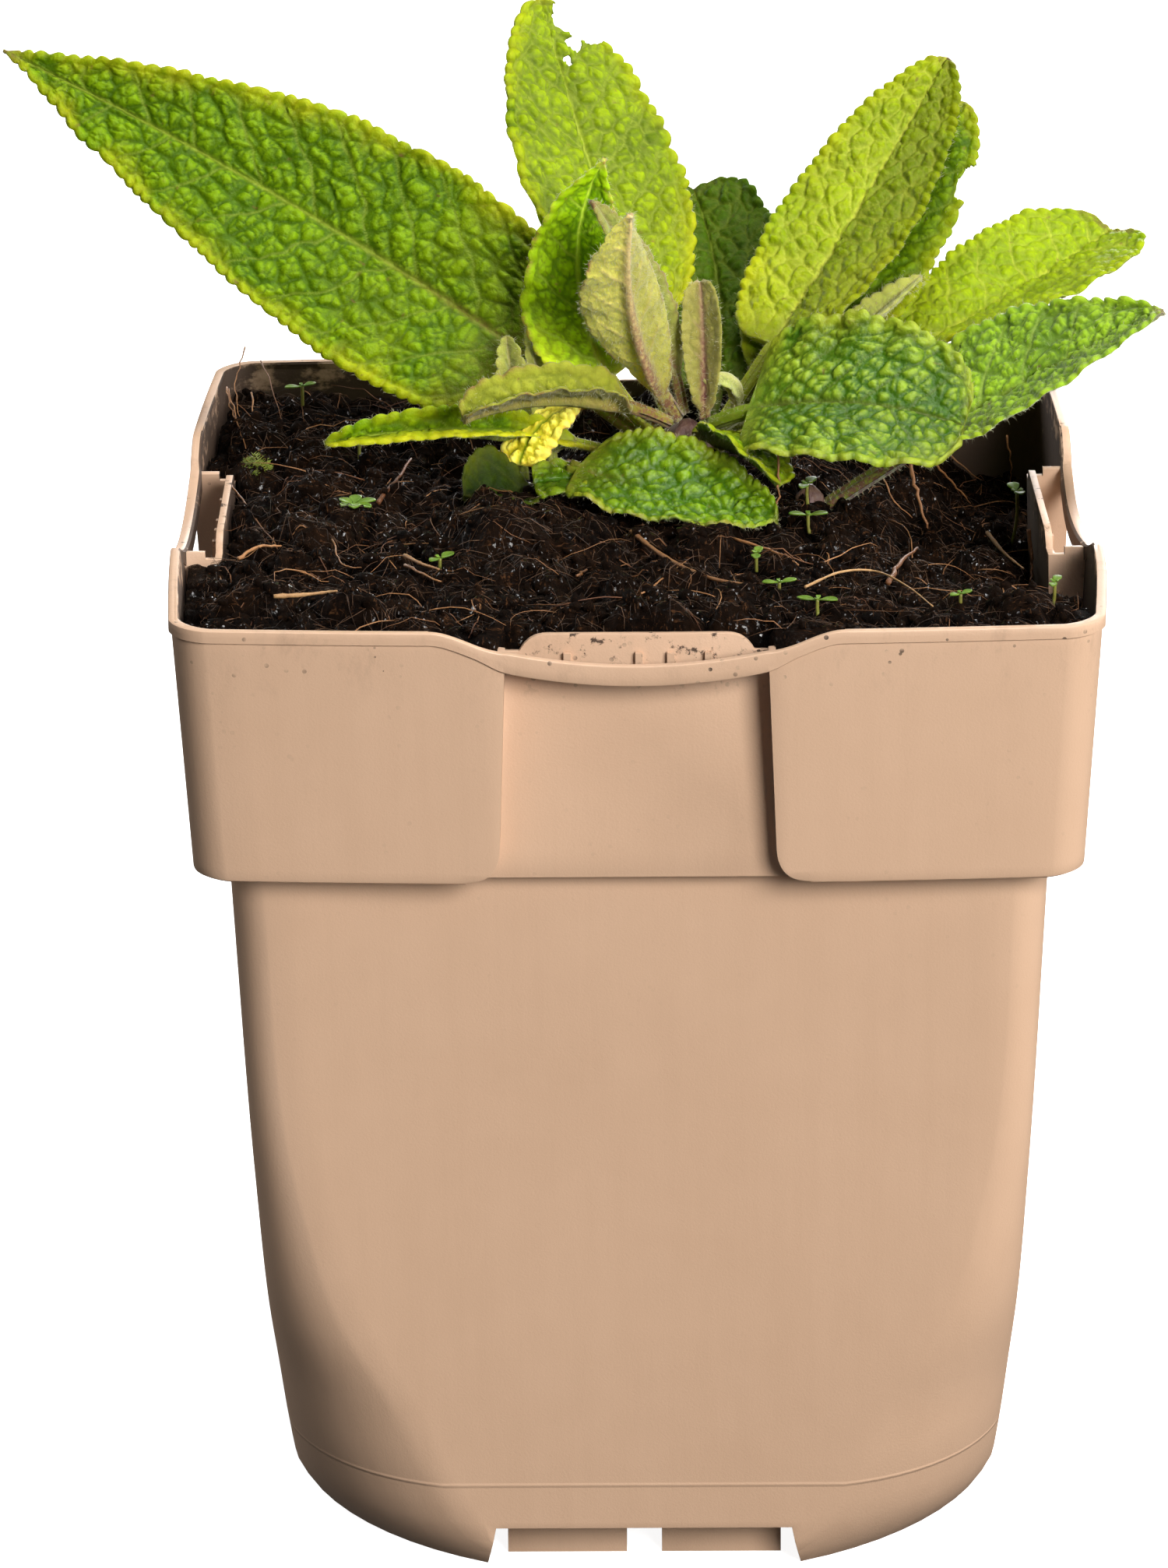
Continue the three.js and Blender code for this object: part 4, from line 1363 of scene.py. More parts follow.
    def fittings(self) -> list[Piece]:
        """Models the feet and the pad under the floor.

        Returns:
            The feet as one body, and the pad.
        """
        bars = []
        near = self.body[0].half - self.foot_set_back - self.foot_depth
        reach = self.floor + self.floor_thickness / 2
        for x in (2.5, -2.5 - self.foot_width):
            outline = self.box(x, x + self.foot_width, 0, reach)
            bars.append(slab("foot", outline, near, near + self.foot_depth))
        sides = on_four_sides(joined(bars))
        deselect()
        size = {"radius": self.pad_radius * MM, "depth": reach * MM}
        bpy.ops.mesh.primitive_cylinder_add(vertices=48, location=(0, 0, reach * MM / 2), **size)
        pad = bpy.context.object
        pad.data.transform(pad.matrix_world)
        pad.matrix_world = Matrix.Identity(4)
        return [sides, pad]

    def drain_tool(self) -> Piece:
        """Draws the drain holes.

        Returns:
            The holes as one tool.
        """
        tools = []
        for n in range(self.drains):
            angle = (n + 0.5) * 2 * math.pi / self.drains
            turn = np.linspace(0, 2 * math.pi, 24, endpoint=False)
            x = self.drain_ring * math.cos(angle) + self.drain_radius * np.cos(turn)
            y = self.drain_ring * math.sin(angle) + self.drain_radius * np.sin(turn)
            rings = [np.column_stack([x, y, np.full(24, z)]) for z in (self.floor - 3, self.floor + 4)]
            tools.append(drawn_out("drain", rings))
        return joined(tools)

    def build(self, effects: Effects) -> Piece:
        """Moulds the pot, rounds its edges and dresses it.

        Args:
            effects: the shared shader groups.

        Returns:
            The pot.
        """
        pot = self.outside()
        carve(pot, self.inside(), Carve.CUT)
        carve(pot, self.undercut(), Carve.CUT)
        foot, top = self.notch_foot, self.notch_top
        notch = np.array([(-foot, -1), (foot, -1), (top, self.floor), (-top, self.floor)], float)
        for name, outline, near, far in (
            ("bay", self.bay(0), self.plate, 75),
            ("dip", self.dip_outline(), 60.6, 75),
            ("plate", self.plate_outline(), 56, 60.6),
            ("notch", notch, 46, 60),
        ):
            carve(pot, on_four_sides(slab(name, outline, near, far)), Carve.CUT)
        for fitting in self.fittings():
            carve(pot, fitting, Carve.WELD)
        carve(pot, self.drain_tool(), Carve.CUT)
        activate(pot)
        bevel = pot.modifiers.new("edges", "BEVEL")
        bevel.width = 0.3 * MM
        bevel.segments = 2
        bevel.limit_method = "ANGLE"
        bevel.angle_limit = math.radians(42)
        bevel.harden_normals = False
        bpy.ops.object.modifier_apply(modifier=bevel.name)
        rim = Sheet.empty()
        self.rim_band(rim)
        band = rim.piece("pot_rim", [])
        pot = joined([pot, band, self.plate_ribs()])
        self.give_way(pot)
        activate(pot)
        bpy.ops.object.shade_smooth_by_angle(angle=math.radians(32))
        pot.name = "nursery_pot"
        pot.data.materials.clear()
        pot.data.materials.append(PotPlastic().material(effects))
        dress(pot, "pot_plastic", "pot")
        return pot


# ---------- Peat ----------
@dataclass(frozen=True)
class LooseRoot:
    """One root or stalk that stands out of the peat: places (x, y, height over the peat), radius and tone."""

    path: tuple[Place, ...]
    radius: float = 0.16
    tone: float = 0.6


LOOSE_ROOTS = (
    LooseRoot(((-60.8, 47, 4.6), (-59.2, 40, 2.2), (-57.4, 31.5, 0.8))),
    LooseRoot(((-61.2, 49, 4.2), (-59.4, 41, 2.0), (-56.2, 35, 0.8)), 0.13, 0.8),
    LooseRoot(((-58.6, 57, 8.0), (-59.9, 51, 4.0), (-59.0, 44, 0.9)), 0.13, 0.7),
    LooseRoot(((-57.2, 46, 4.0), (-56.7, 36, 0.8)), 0.12, 0.8),
    LooseRoot(((-56.5, 58, 5.5), (-52.8, 44, 0.6)), 0.12, 0.3),
    LooseRoot(((-58.5, 10.5, 2.0), (-55.0, -1.3, 1.5), (-50.6, -15.6, 0.8)), 0.17, 0.35),
    LooseRoot(((-55.8, -20.8, 1.0), (-53.1, -16.6, 1.4), (-50.1, -15.3, 1.0)), 0.3, 0.9),
    LooseRoot(((-43.0, -15.0, 1.8), (-41.2, -23.4, 1.0), (-38.3, -24.9, 0.9)), 0.15, 0.6),
    LooseRoot(((-32.3, -25.3, 1.4), (-27.2, -32.8, 1.0)), 0.24, 0.7),
    LooseRoot(((-37.1, 3.1, 1.5), (-34.7, 11.6, 2.4), (-32.8, 20.0, 3.4)), 0.36, 0.1),
    LooseRoot(((-23.0, -46.6, 1.8), (-21.3, -50.3, 1.2), (-21.4, -56.4, 0.8)), 0.13, 0.6),
    LooseRoot(((20.0, 0.5, 9.0), (19.9, -1.6, 4.2), (19.0, -4.5, 0.5)), 0.22, 0.55),
    LooseRoot(((34.9, 14, 7.3), (37.2, 11.5, 3.2), (40.5, 13.8, 0.9)), 0.17, 0.75),
    LooseRoot(((39.9, 18, 8.2), (41.4, 14.5, 4.5), (42.7, 12.8, 0.4)), 0.36, 0.5),
    LooseRoot(((43.7, 30, 7.0), (47.8, 36, 3.4), (50.5, 38.7, 0.9)), 0.2, 0.7),
    LooseRoot(((47.9, 48, 4.6), (53.0, 53, 1.1)), 0.13, 0.7),
    LooseRoot(((56.4, 45, 11.0), (57.2, 48, 6.0), (57.0, 52, 0.9)), 0.17, 0.8),
    LooseRoot(((57.4, 0.0, 7.4), (57.8, -1.5, 3.5), (57.4, -3.5, 0.3)), 0.34, 0.3),
    LooseRoot(((48.0, -46, 1.0), (50.5, -38, 2.6), (54.0, -33, 1.5)), 0.2, 0.7),
    LooseRoot(((-10.1, -19.8, 1.6), (-7.6, -18.2, 2.0), (-5.2, -18.9, 1.2)), 0.14, 0.6),
    LooseRoot(((-8.3, -31.2, 1.4), (-6.2, -26.9, 1.6), (-3.8, -23.4, 1.2)), 0.22, 0.5),
    LooseRoot(((13.3, -16.1, 2.0), (19.8, -21.8, 1.6), (22.4, -25.5, 1.2)), 0.22, 0.55),
    LooseRoot(((34.7, -30.5, 1.2), (37.3, -17.9, 2.2), (40.5, -6.2, 2.6)), 0.42, 0.2),
    LooseRoot(((0.9, -42.0, 1.2), (3.5, -34.5, 1.8), (6.7, -23.6, 1.2)), 0.16, 0.65),
)


@dataclass
class Peat:
    """Damp peat, level with the front rim and lower to the right, with clods, crumbs and loose fibres."""

    cells: int = 290
    reach: float = 61.5
    open_half: float = 61.9
    bay_half: float = 58.0
    corner_middle: float = 56.2
    corner_radius: float = 5.6
    skirt: float = 9.0
    crumb_count: int = 7000
    thread_count: int = 7000
    root_count: int = 330

    def level(self, x: Array, y: Array) -> Array:
        """The settled height of the peat, without its clods.

        Args:
            x: first coordinate of each point.
            y: second coordinate of each point.

        Returns:
            The heights.
        """
        z = 141.6 + 3 * smooth(-y, 25, 60)
        z = z - 9.5 * smooth(x, 22, 55) * smooth(y, -52, 0)
        z = z - 4 * smooth(x, 30, 60) * smooth(y, 10, 50)
        z = z - 4.5 * np.exp(-(((x + 22) / 20) ** 2 + ((y - 40) / 16) ** 2))
        z = z + 1.5 * np.exp(-(((x + 52) / 10) ** 2 + ((y - 50) / 12) ** 2))
        return z + 2.2 * np.exp(-(((x - 7) / 12) ** 2 + ((y - 17) / 12) ** 2))

    def surface(self, x: Array, y: Array) -> tuple[Array, Array]:
        """The height of the peat with its clods.

        Args:
            x: first coordinate of each point.
            y: second coordinate of each point.

        Returns:
            The heights, and how high each point stands on its clod, from 0 to 1.
        """
        noise = Noise(11)
        sway = 2.2 * noise.layered(x / 6, y / 6, 2)
        big, name = noise.cells(x / 9.5 + sway / 5, y / 9.5 - sway / 6, (9.5, 9.5), 1.0)
        mid, second = Noise(12).cells(x / 3.6 + sway / 3, y / 3.6, (3.6, 3.6), 1.0)
        tiny, _ = Noise(13).cells(x / 1.35, y / 1.35 + sway, (1.35, 1.35))
        clod = dome(big, 3.6) * (0.2 + 1.3 * name)
        lump = dome(mid, 1.4) * (0.2 + 1.1 * second)
        rough = noise.layered(x / 2.4 + 40, y / 2.4, 5) - 0.5
        grit = noise.layered(x / 0.85 + 9, y / 0.85 + 4, 3) - 0.5
        height = 2.9 * clod + 1.0 * lump + 0.3 * dome(tiny, 0.5) + 2.8 * rough + 1.1 * grit - 2.0
        height = height + 4.6 * bell(np.hypot((x + 16) / 10.5, (y + 14) / 17), 1.0)
        height = height + 3.2 * bell(np.hypot((x - 49) / 6, (y + 1) / 6), 1.0)
        edge = smooth(np.maximum(np.abs(x), np.abs(y)), 57.5, 61)
        height = height - edge * np.maximum(height - 0.2, 0)
        return self.level(x, y) + height, np.clip((height + 2.0) / 4.6, 0, 1)

    def wall_at(self, along: Array) -> Array:
        """How far the peat reaches towards a side.

        Args:
            along: distance from the middle of the side.

        Returns:
            The distance from the pot's axis.
        """
        a = np.abs(along)
        out = self.open_half + 2 * (1 - (a / 58) ** 2) - 0.5
        out = out - (out - self.bay_half) * (1 - smooth(a, 18.8, 20.6))
        over = np.clip(a - self.corner_middle, 0, self.corner_radius)
        corner = self.corner_middle + np.sqrt(self.corner_radius**2 - over**2) * 0.92
        return np.where(a > self.corner_middle, np.minimum(out, corner), out)

    def ground(self) -> Sheet:
        """Lays the peat's body: a fine rough top with a skirt down to a flat foot.

        Returns:
            The sheet with the body.
        """
        line = np.linspace(-1, 1, self.cells)
        a, b = np.meshgrid(line, line, indexing="ij")
        x = a * self.wall_at(b * self.reach)
        y = b * self.wall_at(a * self.reach)
        z, lift = self.surface(x, y)
        lean = np.clip(146 - z, 0, 25) * 0.057
        x = x - np.sign(a) * np.abs(a) ** 12 * lean
        y = y - np.sign(b) * np.abs(b) ** 12 * lean
        z = z - 0.9 * np.maximum(np.abs(a), np.abs(b)) ** 40
        top = pulled_in(np.stack([x, y, z], axis=-1))
        sheet = Sheet.empty("lift")
        n = self.cells
        i, j = np.meshgrid(np.arange(n - 1), np.arange(n - 1), indexing="ij")
        k = i * n + j
        faces = np.stack([k, k + n, k + n + 1, k + 1], axis=-1).reshape(-1, 4)
        edge = np.concatenate([
            np.arange(n - 1) * n,
            (n - 1) * n + np.arange(n - 1),
            (n * n - 1) - np.arange(n - 1) * n,
            (n - 1) - np.arange(n - 1),
        ])
        border = top.reshape(-1, 3)[edge]
        low = border.copy()
        low[:, 2] = border[:, 2] - self.skirt
        middle = low.mean(axis=0, keepdims=True)
        points = np.concatenate([top.reshape(-1, 3), low, middle])
        m = len(edge)
        first = n * n + np.arange(m)
        after = n * n + (np.arange(m) + 1) % m
        walls = np.stack([np.roll(edge, -1), edge, first, after], axis=1)
        foot = np.stack([after, first, np.full(m, n * n + m)], axis=1)
        lifts = np.concatenate([lift.ravel(), np.zeros(m + 1)])
        sheet.add(points, [faces, walls, foot], 0, lift=lifts)
        return sheet

    def scatter(self, rng: Random, count: int) -> tuple[Array, Array]:
        """Random places on the peat.

        Args:
            rng: the seeded source.
            count: how many there may be.

        Returns:
            Their first and their second coordinates.
        """
        x = rng.uniform(-60, 60, count)
        y = rng.uniform(-60, 60, count)
        inside = (np.abs(x) < self.wall_at(y) - 1.2) & (np.abs(y) < self.wall_at(x) - 1.2)
        return x[inside], y[inside]

    def crumbs(self, sheet: Sheet, rng: Random) -> None:
        """Strews crumbs of many sizes over the peat.

        Args:
            sheet: what they are laid on.
            rng: the seeded source of their places.
        """
        ball = bmesh.new()
        bmesh.ops.create_icosphere(ball, subdivisions=1, radius=1.0)
        shape = np.array([v.co for v in ball.verts])
        faces = np.array([[v.index for v in f.verts] for f in ball.faces])
        ball.free()
        x, y = self.scatter(rng, self.crumb_count)
        z, _ = self.surface(x, y)
        size = 0.16 + 1.1 * rng.random(len(x)) ** 3.4
        squash = rng.uniform(0.6, 1.25, (len(x), 1, 3))
        dents = rng.uniform(0.7, 1.25, (len(x), len(shape), 1))
        points = shape[None] * squash * dents * size[:, None, None]
        centre = np.stack([x, y, z + size * 0.2], axis=1)
        points = pulled_in(points + centre[:, None])
        first = np.arange(len(x))[:, None, None] * len(shape)
        lift = np.repeat(rng.uniform(0.3, 0.9, len(x)), len(shape))
        sheet.add(points, [(faces[None] + first).reshape(-1, 3)], 0, lift=lift)

    def wandering(self, rng: Random, count: int, reach: Sequence[float], steps: int, curl: float) -> Array:
        """Paths of loose fibres that lie across the clods.

        Args:
            rng: the seeded source of their places.
            count: how many there may be.
            reach: the shortest and the longest.
            steps: steps along each.
            curl: how strongly they bend.

        Returns:
            Their paths, count by steps and one by 3.
        """
        x, y = self.scatter(rng, count)
        n = len(x)
        length = rng.uniform(0, 1, (n, 1)) ** 1.7 * (reach[1] - reach[0]) + reach[0]
        heading = rng.uniform(0, 2 * math.pi, (n, 1))
        drift = rng.normal(0, curl / steps, (n, 1))
        drift = drift + rng.normal(0, 0.35 * curl / math.sqrt(steps), (n, steps))
        heading = heading + np.cumsum(drift, axis=1)
        path = np.zeros((n, steps + 1, 2))
        path[:, 1:, 0] = np.cumsum(length / steps * np.cos(heading), axis=1)
        path[:, 1:, 1] = np.cumsum(length / steps * np.sin(heading), axis=1)
        path = np.clip(path + np.stack([x, y], axis=1)[:, None], -59.8, 59.8)
        z, _ = self.surface(path[..., 0], path[..., 1])
        share = np.linspace(0, 1, steps + 1)
        straight = z[:, :1] * (1 - share) + z[:, -1:] * share
        arch = rng.uniform(0, 0.14, (n, 1)) * length * np.sin(share * math.pi)
        tilt = rng.uniform(-0.1, 0.3, (n, 1)) * length * share * (rng.random((n, 1)) < 0.4)
        high = np.maximum(z * 0.75 + straight * 0.25, straight) + arch + np.maximum(tilt, 0) + 0.05
        return np.concatenate([path, high[..., None]], axis=-1)

    def fibres(self, sheet: Sheet, rng: Random) -> None:
        """Lays fine dark fibres, the longer pale roots, and those that stand out of the peat.

        Args:
            sheet: what they are laid on.
            rng: the seeded source of their places.
        """
        for count, finish, radius, reach, steps, sides, curl in (
            (self.thread_count, 0, (0.03, 0.07), (1.2, 6.0), 3, 3, 0.7),
            (self.root_count, 1, (0.04, 0.11), (2.0, 13.0), 6, 4, 0.7),
        ):
            paths = self.wandering(rng, count, reach, steps, curl)
            n = len(paths)
            radii = rng.uniform(*radius, (n, 1)) * (1 - 0.7 * np.linspace(0, 1, steps + 1) ** 2)
            points, faces = tubes(pulled_in(paths), radii, sides)
            tone = np.repeat(rng.random(n) ** 1.2, len(points) // n)
            sheet.add(points, faces, finish, tone=tone)
        for root in LOOSE_ROOTS:
            path = curve_through(root.path, 7)
            path[:, 2] += self.level(path[:, 0], path[:, 1]) - 0.2
            path[:, :2] += rng.normal(0, 0.12, (len(path), 2))
            radii = root.radius * rng.uniform(0.8, 1.1, len(path)) * np.linspace(1, 0.45, len(path))
            points, faces = tube(pulled_in(path), radii, 7)
            sheet.add(points, faces, 1, tone=root.tone)

    def build(self, effects: Effects) -> Piece:
        """Lays the peat and everything loose on it, and dresses it.

        Args:
            effects: the shared shader groups.

        Returns:
            The peat's body.
        """
        rng = np.random.default_rng(3)
        soil = PeatFinish().material(effects)
        bed = self.ground().piece("peat", [soil])
        dress(bed, "soil", "soil")
        crumbs = Sheet.empty("lift")
        self.crumbs(crumbs, rng)
        dress(crumbs.piece("peat_crumbs", [soil]), "soil")
        fibres = Sheet.empty("tone")
        self.fibres(fibres, rng)
        skins = [Fibre("dark_fibre", "7a583a", "180e08", 0.45), Fibre("pale_root", "d29a64", "6e4023", 0.45)]
        dress(fibres.piece("peat_fibres", [skin.material(effects) for skin in skins]), "soil")
        return bed


# ---------- Leaves ----------
@dataclass(frozen=True)
class Bite:
    """A bitten spot on a blade: its distance along the blade, its distance to the left, and its radius."""

    along: float
    left: float
    radius: float


@dataclass(frozen=True)
class Leaf:
    """One leaf: a stalk and a blistered blade along one arched midrib.

    It starts at a point, points along a heading that swings on the way, and rises at an angle that droops on
    the way. roll tips it about its midrib and twist adds to that towards the tip. cup and curl tip and roll
    the left and the right half. Lengths are millimetres and angles degrees. shade and the factor for the left
    half are painted light and painted shade: factors on the colour of the whole leaf and of its left half,
    above 1 painting light on it and below 1 painting shade.
    """

    node: str
    tone: Tone
    at: Place
    heading: float
    rise: float
    stalk: float
    blade: float
    width: float
    broadest: float
    fullness: float
    swing: float = 0.0
    droop: float = 0.0
    roll: float = 0.0
    twist: float = 0.0
    cup: tuple[float, float] = (12.0, 12.0)
    curl: tuple[float, float] = (-8.0, -8.0)
    relief: float = 0.62
    net: float = 0.12
    vein_gap: float = 7.6
    cell: float = 3.4
    bubble: float = 1.5
    tooth: float = 2.3
    wave: float = 0.7
    ripe_margin: float = 0.6
    ripe_base: float = 0.2
    ripe_left: float = 0.0
    rust: float = 0.5
    rust_tip: float = 0.3
    rust_margin: float = 0.0
    rust_reach: float = 0.42
    wool: float = 0.25
    # Painted light and painted shade: colour factors for the whole leaf and its left half, above 1 lighter,
    # below 1 darker
    shade: float = 1.0
    painted_light_and_shade_left: float = 1.0
    bites: tuple[Bite, ...] = ()
    step: float = 0.29

    @property
    def length(self) -> float:
        """The whole length along the midrib."""
        return self.stalk + self.blade

    def aim(self, s: Array) -> tuple[Array, Array]:
        """The directions of the midrib.

        Args:
            s: shares of the length.

        Returns:
            The direction along it, and the level direction to its left.
        """
        h = np.radians(self.heading + self.swing * s)
        a = np.radians(self.rise - self.droop * s)
        along = np.stack([np.cos(a) * np.cos(h), np.cos(a) * np.sin(h), np.sin(a)], axis=-1)
        return along, np.stack([-np.sin(h), np.cos(h), np.zeros_like(h)], axis=-1)

    def midrib(self, s: Array) -> Array:
        """Places on the midrib.

        Args:
            s: shares of the length.

        Returns:
            The places.
        """
        steps = 400
        fine = np.linspace(0, 1, steps + 1)
        along, _ = self.aim((fine[1:] + fine[:-1]) / 2)
        line = np.concatenate([[(0, 0, 0)], np.cumsum(along * self.length / steps, axis=0)])
        line = line + np.array(self.at)
        return np.stack([np.interp(s, fine, line[:, k]) for k in range(3)], axis=-1)

    def half_width(self, t: Array) -> Array:
        """Half-width of the blade, or of the stalk below it.

        Args:
            t: shares of the blade's length.

        Returns:
            The half-widths.
        """
        m, k = self.broadest, self.fullness
        inside = np.clip(t, 1e-6, 1 - 1e-6)
        rise = (inside / m) ** (m * k)
        fall = ((1 - inside) / (1 - m)) ** ((1 - m) * k)
        blade = np.where((t > 0) & (t < 1), self.width / 2 * rise * fall, 0)
        stalk = self.stalk_half() * (1 - smooth(t, -0.02, 0.2))
        return np.maximum(np.maximum(blade, stalk), 0.22)

    def stalk_half(self) -> float:
        """Half the width of the stalk."""
        return min(1.15, 0.4 + 0.06 * self.width)

    def across(self, reach: Array, left: Array, opened: Array) -> tuple[Array, Array]:
        """Where a point of the cross-section lies.

        Args:
            reach: its distance from the midrib along the section, as a share of the half-width.
            left: whether it is on the left half.
            opened: how far the blade has opened out of the stalk, from 0 to 1.

        Returns:
            Its places across and above, in half-widths.
        """
        tilt = np.radians(np.where(left, *self.cup)) * opened
        roll = np.radians(np.where(left, *self.curl)) * opened
        roll = np.where(np.abs(roll) < 1e-4, 1e-4, roll)
        out = (np.sin(tilt + roll * reach) - np.sin(tilt)) / roll
        up = -(np.cos(tilt + roll * reach) - np.cos(tilt)) / roll
        return out, up

    def teeth(self, s: Array, left: bool, noise: Noise) -> tuple[Array, Array]:
        """The toothed margin of one half.

        Args:
            s: shares of the length.
            left: which half.
            noise: what makes the teeth uneven.

        Returns:
            How far the margin stands out of the smooth outline, and the bead of each tooth from 0 to 1.
        """
        fine = np.linspace(0, 1, 600)
        t = (fine * self.length - self.stalk) / self.blade
        half = self.half_width(t)
        run = np.concatenate([[0], np.cumsum(np.hypot(np.diff(fine) * self.length, np.diff(half)))])
        run = np.interp(s, fine, run)
        sway = 1.1 * noise.layered(run / 7 + (31 if left else 5), run * 0 + 3, 2)
        bead = np.abs(np.sin(math.pi * (run / self.tooth + sway)))
        here = (s * self.length - self.stalk) / self.blade
        fade = smooth(here, 0.02, 0.09) * (1 - smooth(here, 0.965, 0.995))
        lobes = noise.layered(run / 9 + (2 if left else 77), run * 0 + 9, 2) - 0.5
        stand = (0.27 * self.tooth * (bead**0.6 - 0.6) + 0.035 * self.width * lobes) * fade
        return stand, bead

    def relief_at(self, u: Array, w: Array, margin: Array, bead: Array, t: Array, noise: Noise) -> Marks:
        """The blisters of the blade between its veins.

        Args:
            u: distance along the blade.
            w: distance to the left of the midrib.
            margin: distance to the margin.
            bead: the bead of the nearest tooth.
            t: share of the blade's length.
            noise: what makes the cells uneven.

        Returns:
            The height of the upper skin, and the marks lift and vein.
        """
        out = np.abs(w)
        side = np.where(w > 0, 40.5, 0.0)
        sway = noise.layered(u / 11 + 3, w / 11, 2) - 0.5
        wander = noise.layered(u / 3.4 + 23, w / 3.4 + 9, 3) - 0.5
        gap = self.vein_gap
        sweep = u - 0.72 * out - 0.35 * out**2 / max(self.width / 2, 1.0)
        rows = sweep / gap + 0.4 * sway + 0.25 * wander + side
        branch = np.abs(rows - np.round(rows)) * gap * 0.8
        along_vein = (0.72 * u + out) / 1.232 + 1.8 * wander
        split = max(1, round(gap * 0.8 / self.cell))
        size = (gap * 0.8 / split, self.cell)
        cells, tint = noise.cells(rows * split, along_vein / self.cell + side, size, 0.95)
        a = (0.7 * u - 0.71 * out) / self.bubble + 1.8 * wander + side
        b = (0.71 * u + 0.7 * out) / self.bubble - 1.4 * wander
        small, shade = noise.cells(a + 11, b + 70, (self.bubble, self.bubble), 0.95)
        fine = self.bubble * 0.52
        tiny, _ = noise.cells(a * 1.9 + 5, b * 1.9 + 31, (fine, fine), 1.0)
        seam = np.minimum(np.minimum(cells, branch), out)
        cushion = dome(seam, min(1.3, self.cell * 0.36)) * (0.75 + 0.45 * tint)
        bubbles = dome(np.minimum(small, seam), self.bubble * 0.27) * (0.65 + 0.6 * shade)
        specks = dome(tiny, fine * 0.34)
        height = self.relief * (0.62 * cushion + bubbles * (0.16 + 0.26 * cushion) + 0.13 * specks * bubbles)
        thin = 1 - 0.65 * t
        height = height - 0.5 * bell(out, 0.3 + 0.45 * thin) * thin
        row = smooth(margin, 1.15, 1.75)
        crown = np.sqrt(np.clip(1 - ((margin - 0.75) / 0.95) ** 2, 0, 1))
        rim = self.relief * (0.35 + 0.75 * bead**0.7) * crown
        height = row * height + (1 - row) * rim
        # lift is low in the creases, which are painted darker: partly own colour, partly painted shade
        lift = np.clip(0.3 * cushion + 0.5 * bubbles + 0.2 * specks * bubbles, 0, 1)
        lift = row * lift + (1 - row) * (0.3 + 0.6 * bead)
        side_veins = 0.6 * bell(branch, 0.2) * smooth(margin, 1.0, 3.0)
        vein = np.maximum(0.95 * bell(out, 0.2 + 0.36 * thin), side_veins)
        vein = np.maximum(vein, self.net * np.maximum(bell(cells, 0.2), 0.6 * bell(small, 0.16)) * row)
        return {"height": height, "lift": lift, "vein": vein}

    def build(self, effects: Effects, wool: Material, number: int) -> Piece:
        """Grows the leaf with its hairs and dresses it.

        Args:
            effects: the shared shader groups.
            wool: the finish of the hairs.
            number: what seeds this leaf's unevenness.

        Returns:
            The leaf.
        """
        noise = Noise(100 + number)
        rng = np.random.default_rng(500 + number)
        step = self.step
        start = self.stalk / self.length
        lower = np.linspace(0, start, max(4, round(self.stalk / 0.9)), endpoint=False)
        rows = np.concatenate([lower, np.linspace(start, 1, max(12, round(self.blade / step)))])
        columns = 2 * max(6, round(self.width / 2 / step)) + 1
        s, v = np.meshgrid(rows, np.linspace(-1, 1, columns), indexing="ij")
        keep = np.ones((len(rows) - 1, columns - 1), bool)
        for bite in self.bites:
            s, v, keep = self.bitten(s, v, keep, bite)
        t = (s * self.length - self.stalk) / self.blade
        opened = smooth(t, -0.05, 0.15)
        half = self.half_width(t)
        left = v > 0
        stand_l, bead_l = self.teeth(s, True, noise)
        stand_r, bead_r = self.teeth(s, False, noise)
        bead = np.where(left, bead_l, bead_r)
        stand = np.where(left, stand_l, stand_r)
        share = np.abs(v)
        reach = share + share ** (half / 1.6 + 1) * stand / half
        out, up = self.across(reach, left, opened)
        along, level = self.aim(s)
        over = np.cross(along, level)
        turn = np.radians(self.roll + self.twist * s)[..., None]
        side = np.cos(turn) * level + np.sin(turn) * over
        face = np.cos(turn) * over - np.sin(turn) * level
        middle = self.midrib(s)
        skin = middle + side * (np.sign(v) * out * half)[..., None] + face * (up * half)[..., None]
        u = s * self.length - self.stalk
        w = np.sign(v) * reach * half
        ripple = noise.layered(u / 9 + 50, w / 9 + 50, 3) - 0.5
        ripple = ripple * 2.2 + np.sin(u / self.vein_gap * 2 * math.pi + np.where(left, 0, 2.4)) * 0.5
        skin = skin + face * (self.wave * ripple * share**1.6 * opened * np.minimum(1, half / 6))[..., None]
        normal = unit(np.cross(np.gradient(skin, axis=0), np.gradient(skin, axis=1)))
        margin = np.maximum(0, (np.abs(reach).max(axis=1, keepdims=True) - reach) * half)
        parts = self.relief_at(u, w, margin, bead, t, noise)
        fade = opened * smooth(half, 0.5, 2.2)
        rim = np.sqrt(np.clip(margin / 0.35, 0, 1))
        round_stalk = np.sqrt(np.clip(1 - share**2, 0, 1))
        stalk_top = self.stalk_half() * (round_stalk - 0.45 * bell(v, 0.45))
        stalk_low = self.stalk_half() * round_stalk
        blade_top = parts["height"] * fade + 0.17 * rim
        keel = 1.05 * (1 - 0.75 * np.clip(t, 0, 1)) * bell(w, 0.75) + 0.3 * parts["vein"]
        blade_low = 0.17 * rim + keel - parts["height"] * fade * 0.85
        top = skin + normal * (stalk_top * (1 - opened) + blade_top * opened)[..., None]
        low = skin - normal * (stalk_low * (1 - opened) + blade_low * opened)[..., None]
        grid = {"t": t, "u": u, "w": w, "margin": margin, "share": share, "left": left, "opened": opened}
        marks = self.marks(grid, parts, noise)
        sheet = Sheet.empty("lift", "vein", "ripe", "rust", "under", "tone")
        self.lay(sheet, top, low, keep, marks)
        grids = {"top": top, "low": low, "normal": normal, "t": t, "middle": middle, "along": along}
        self.hairs(sheet, rng, keep, grids)
        name = self.node
        finish = self.tone.value
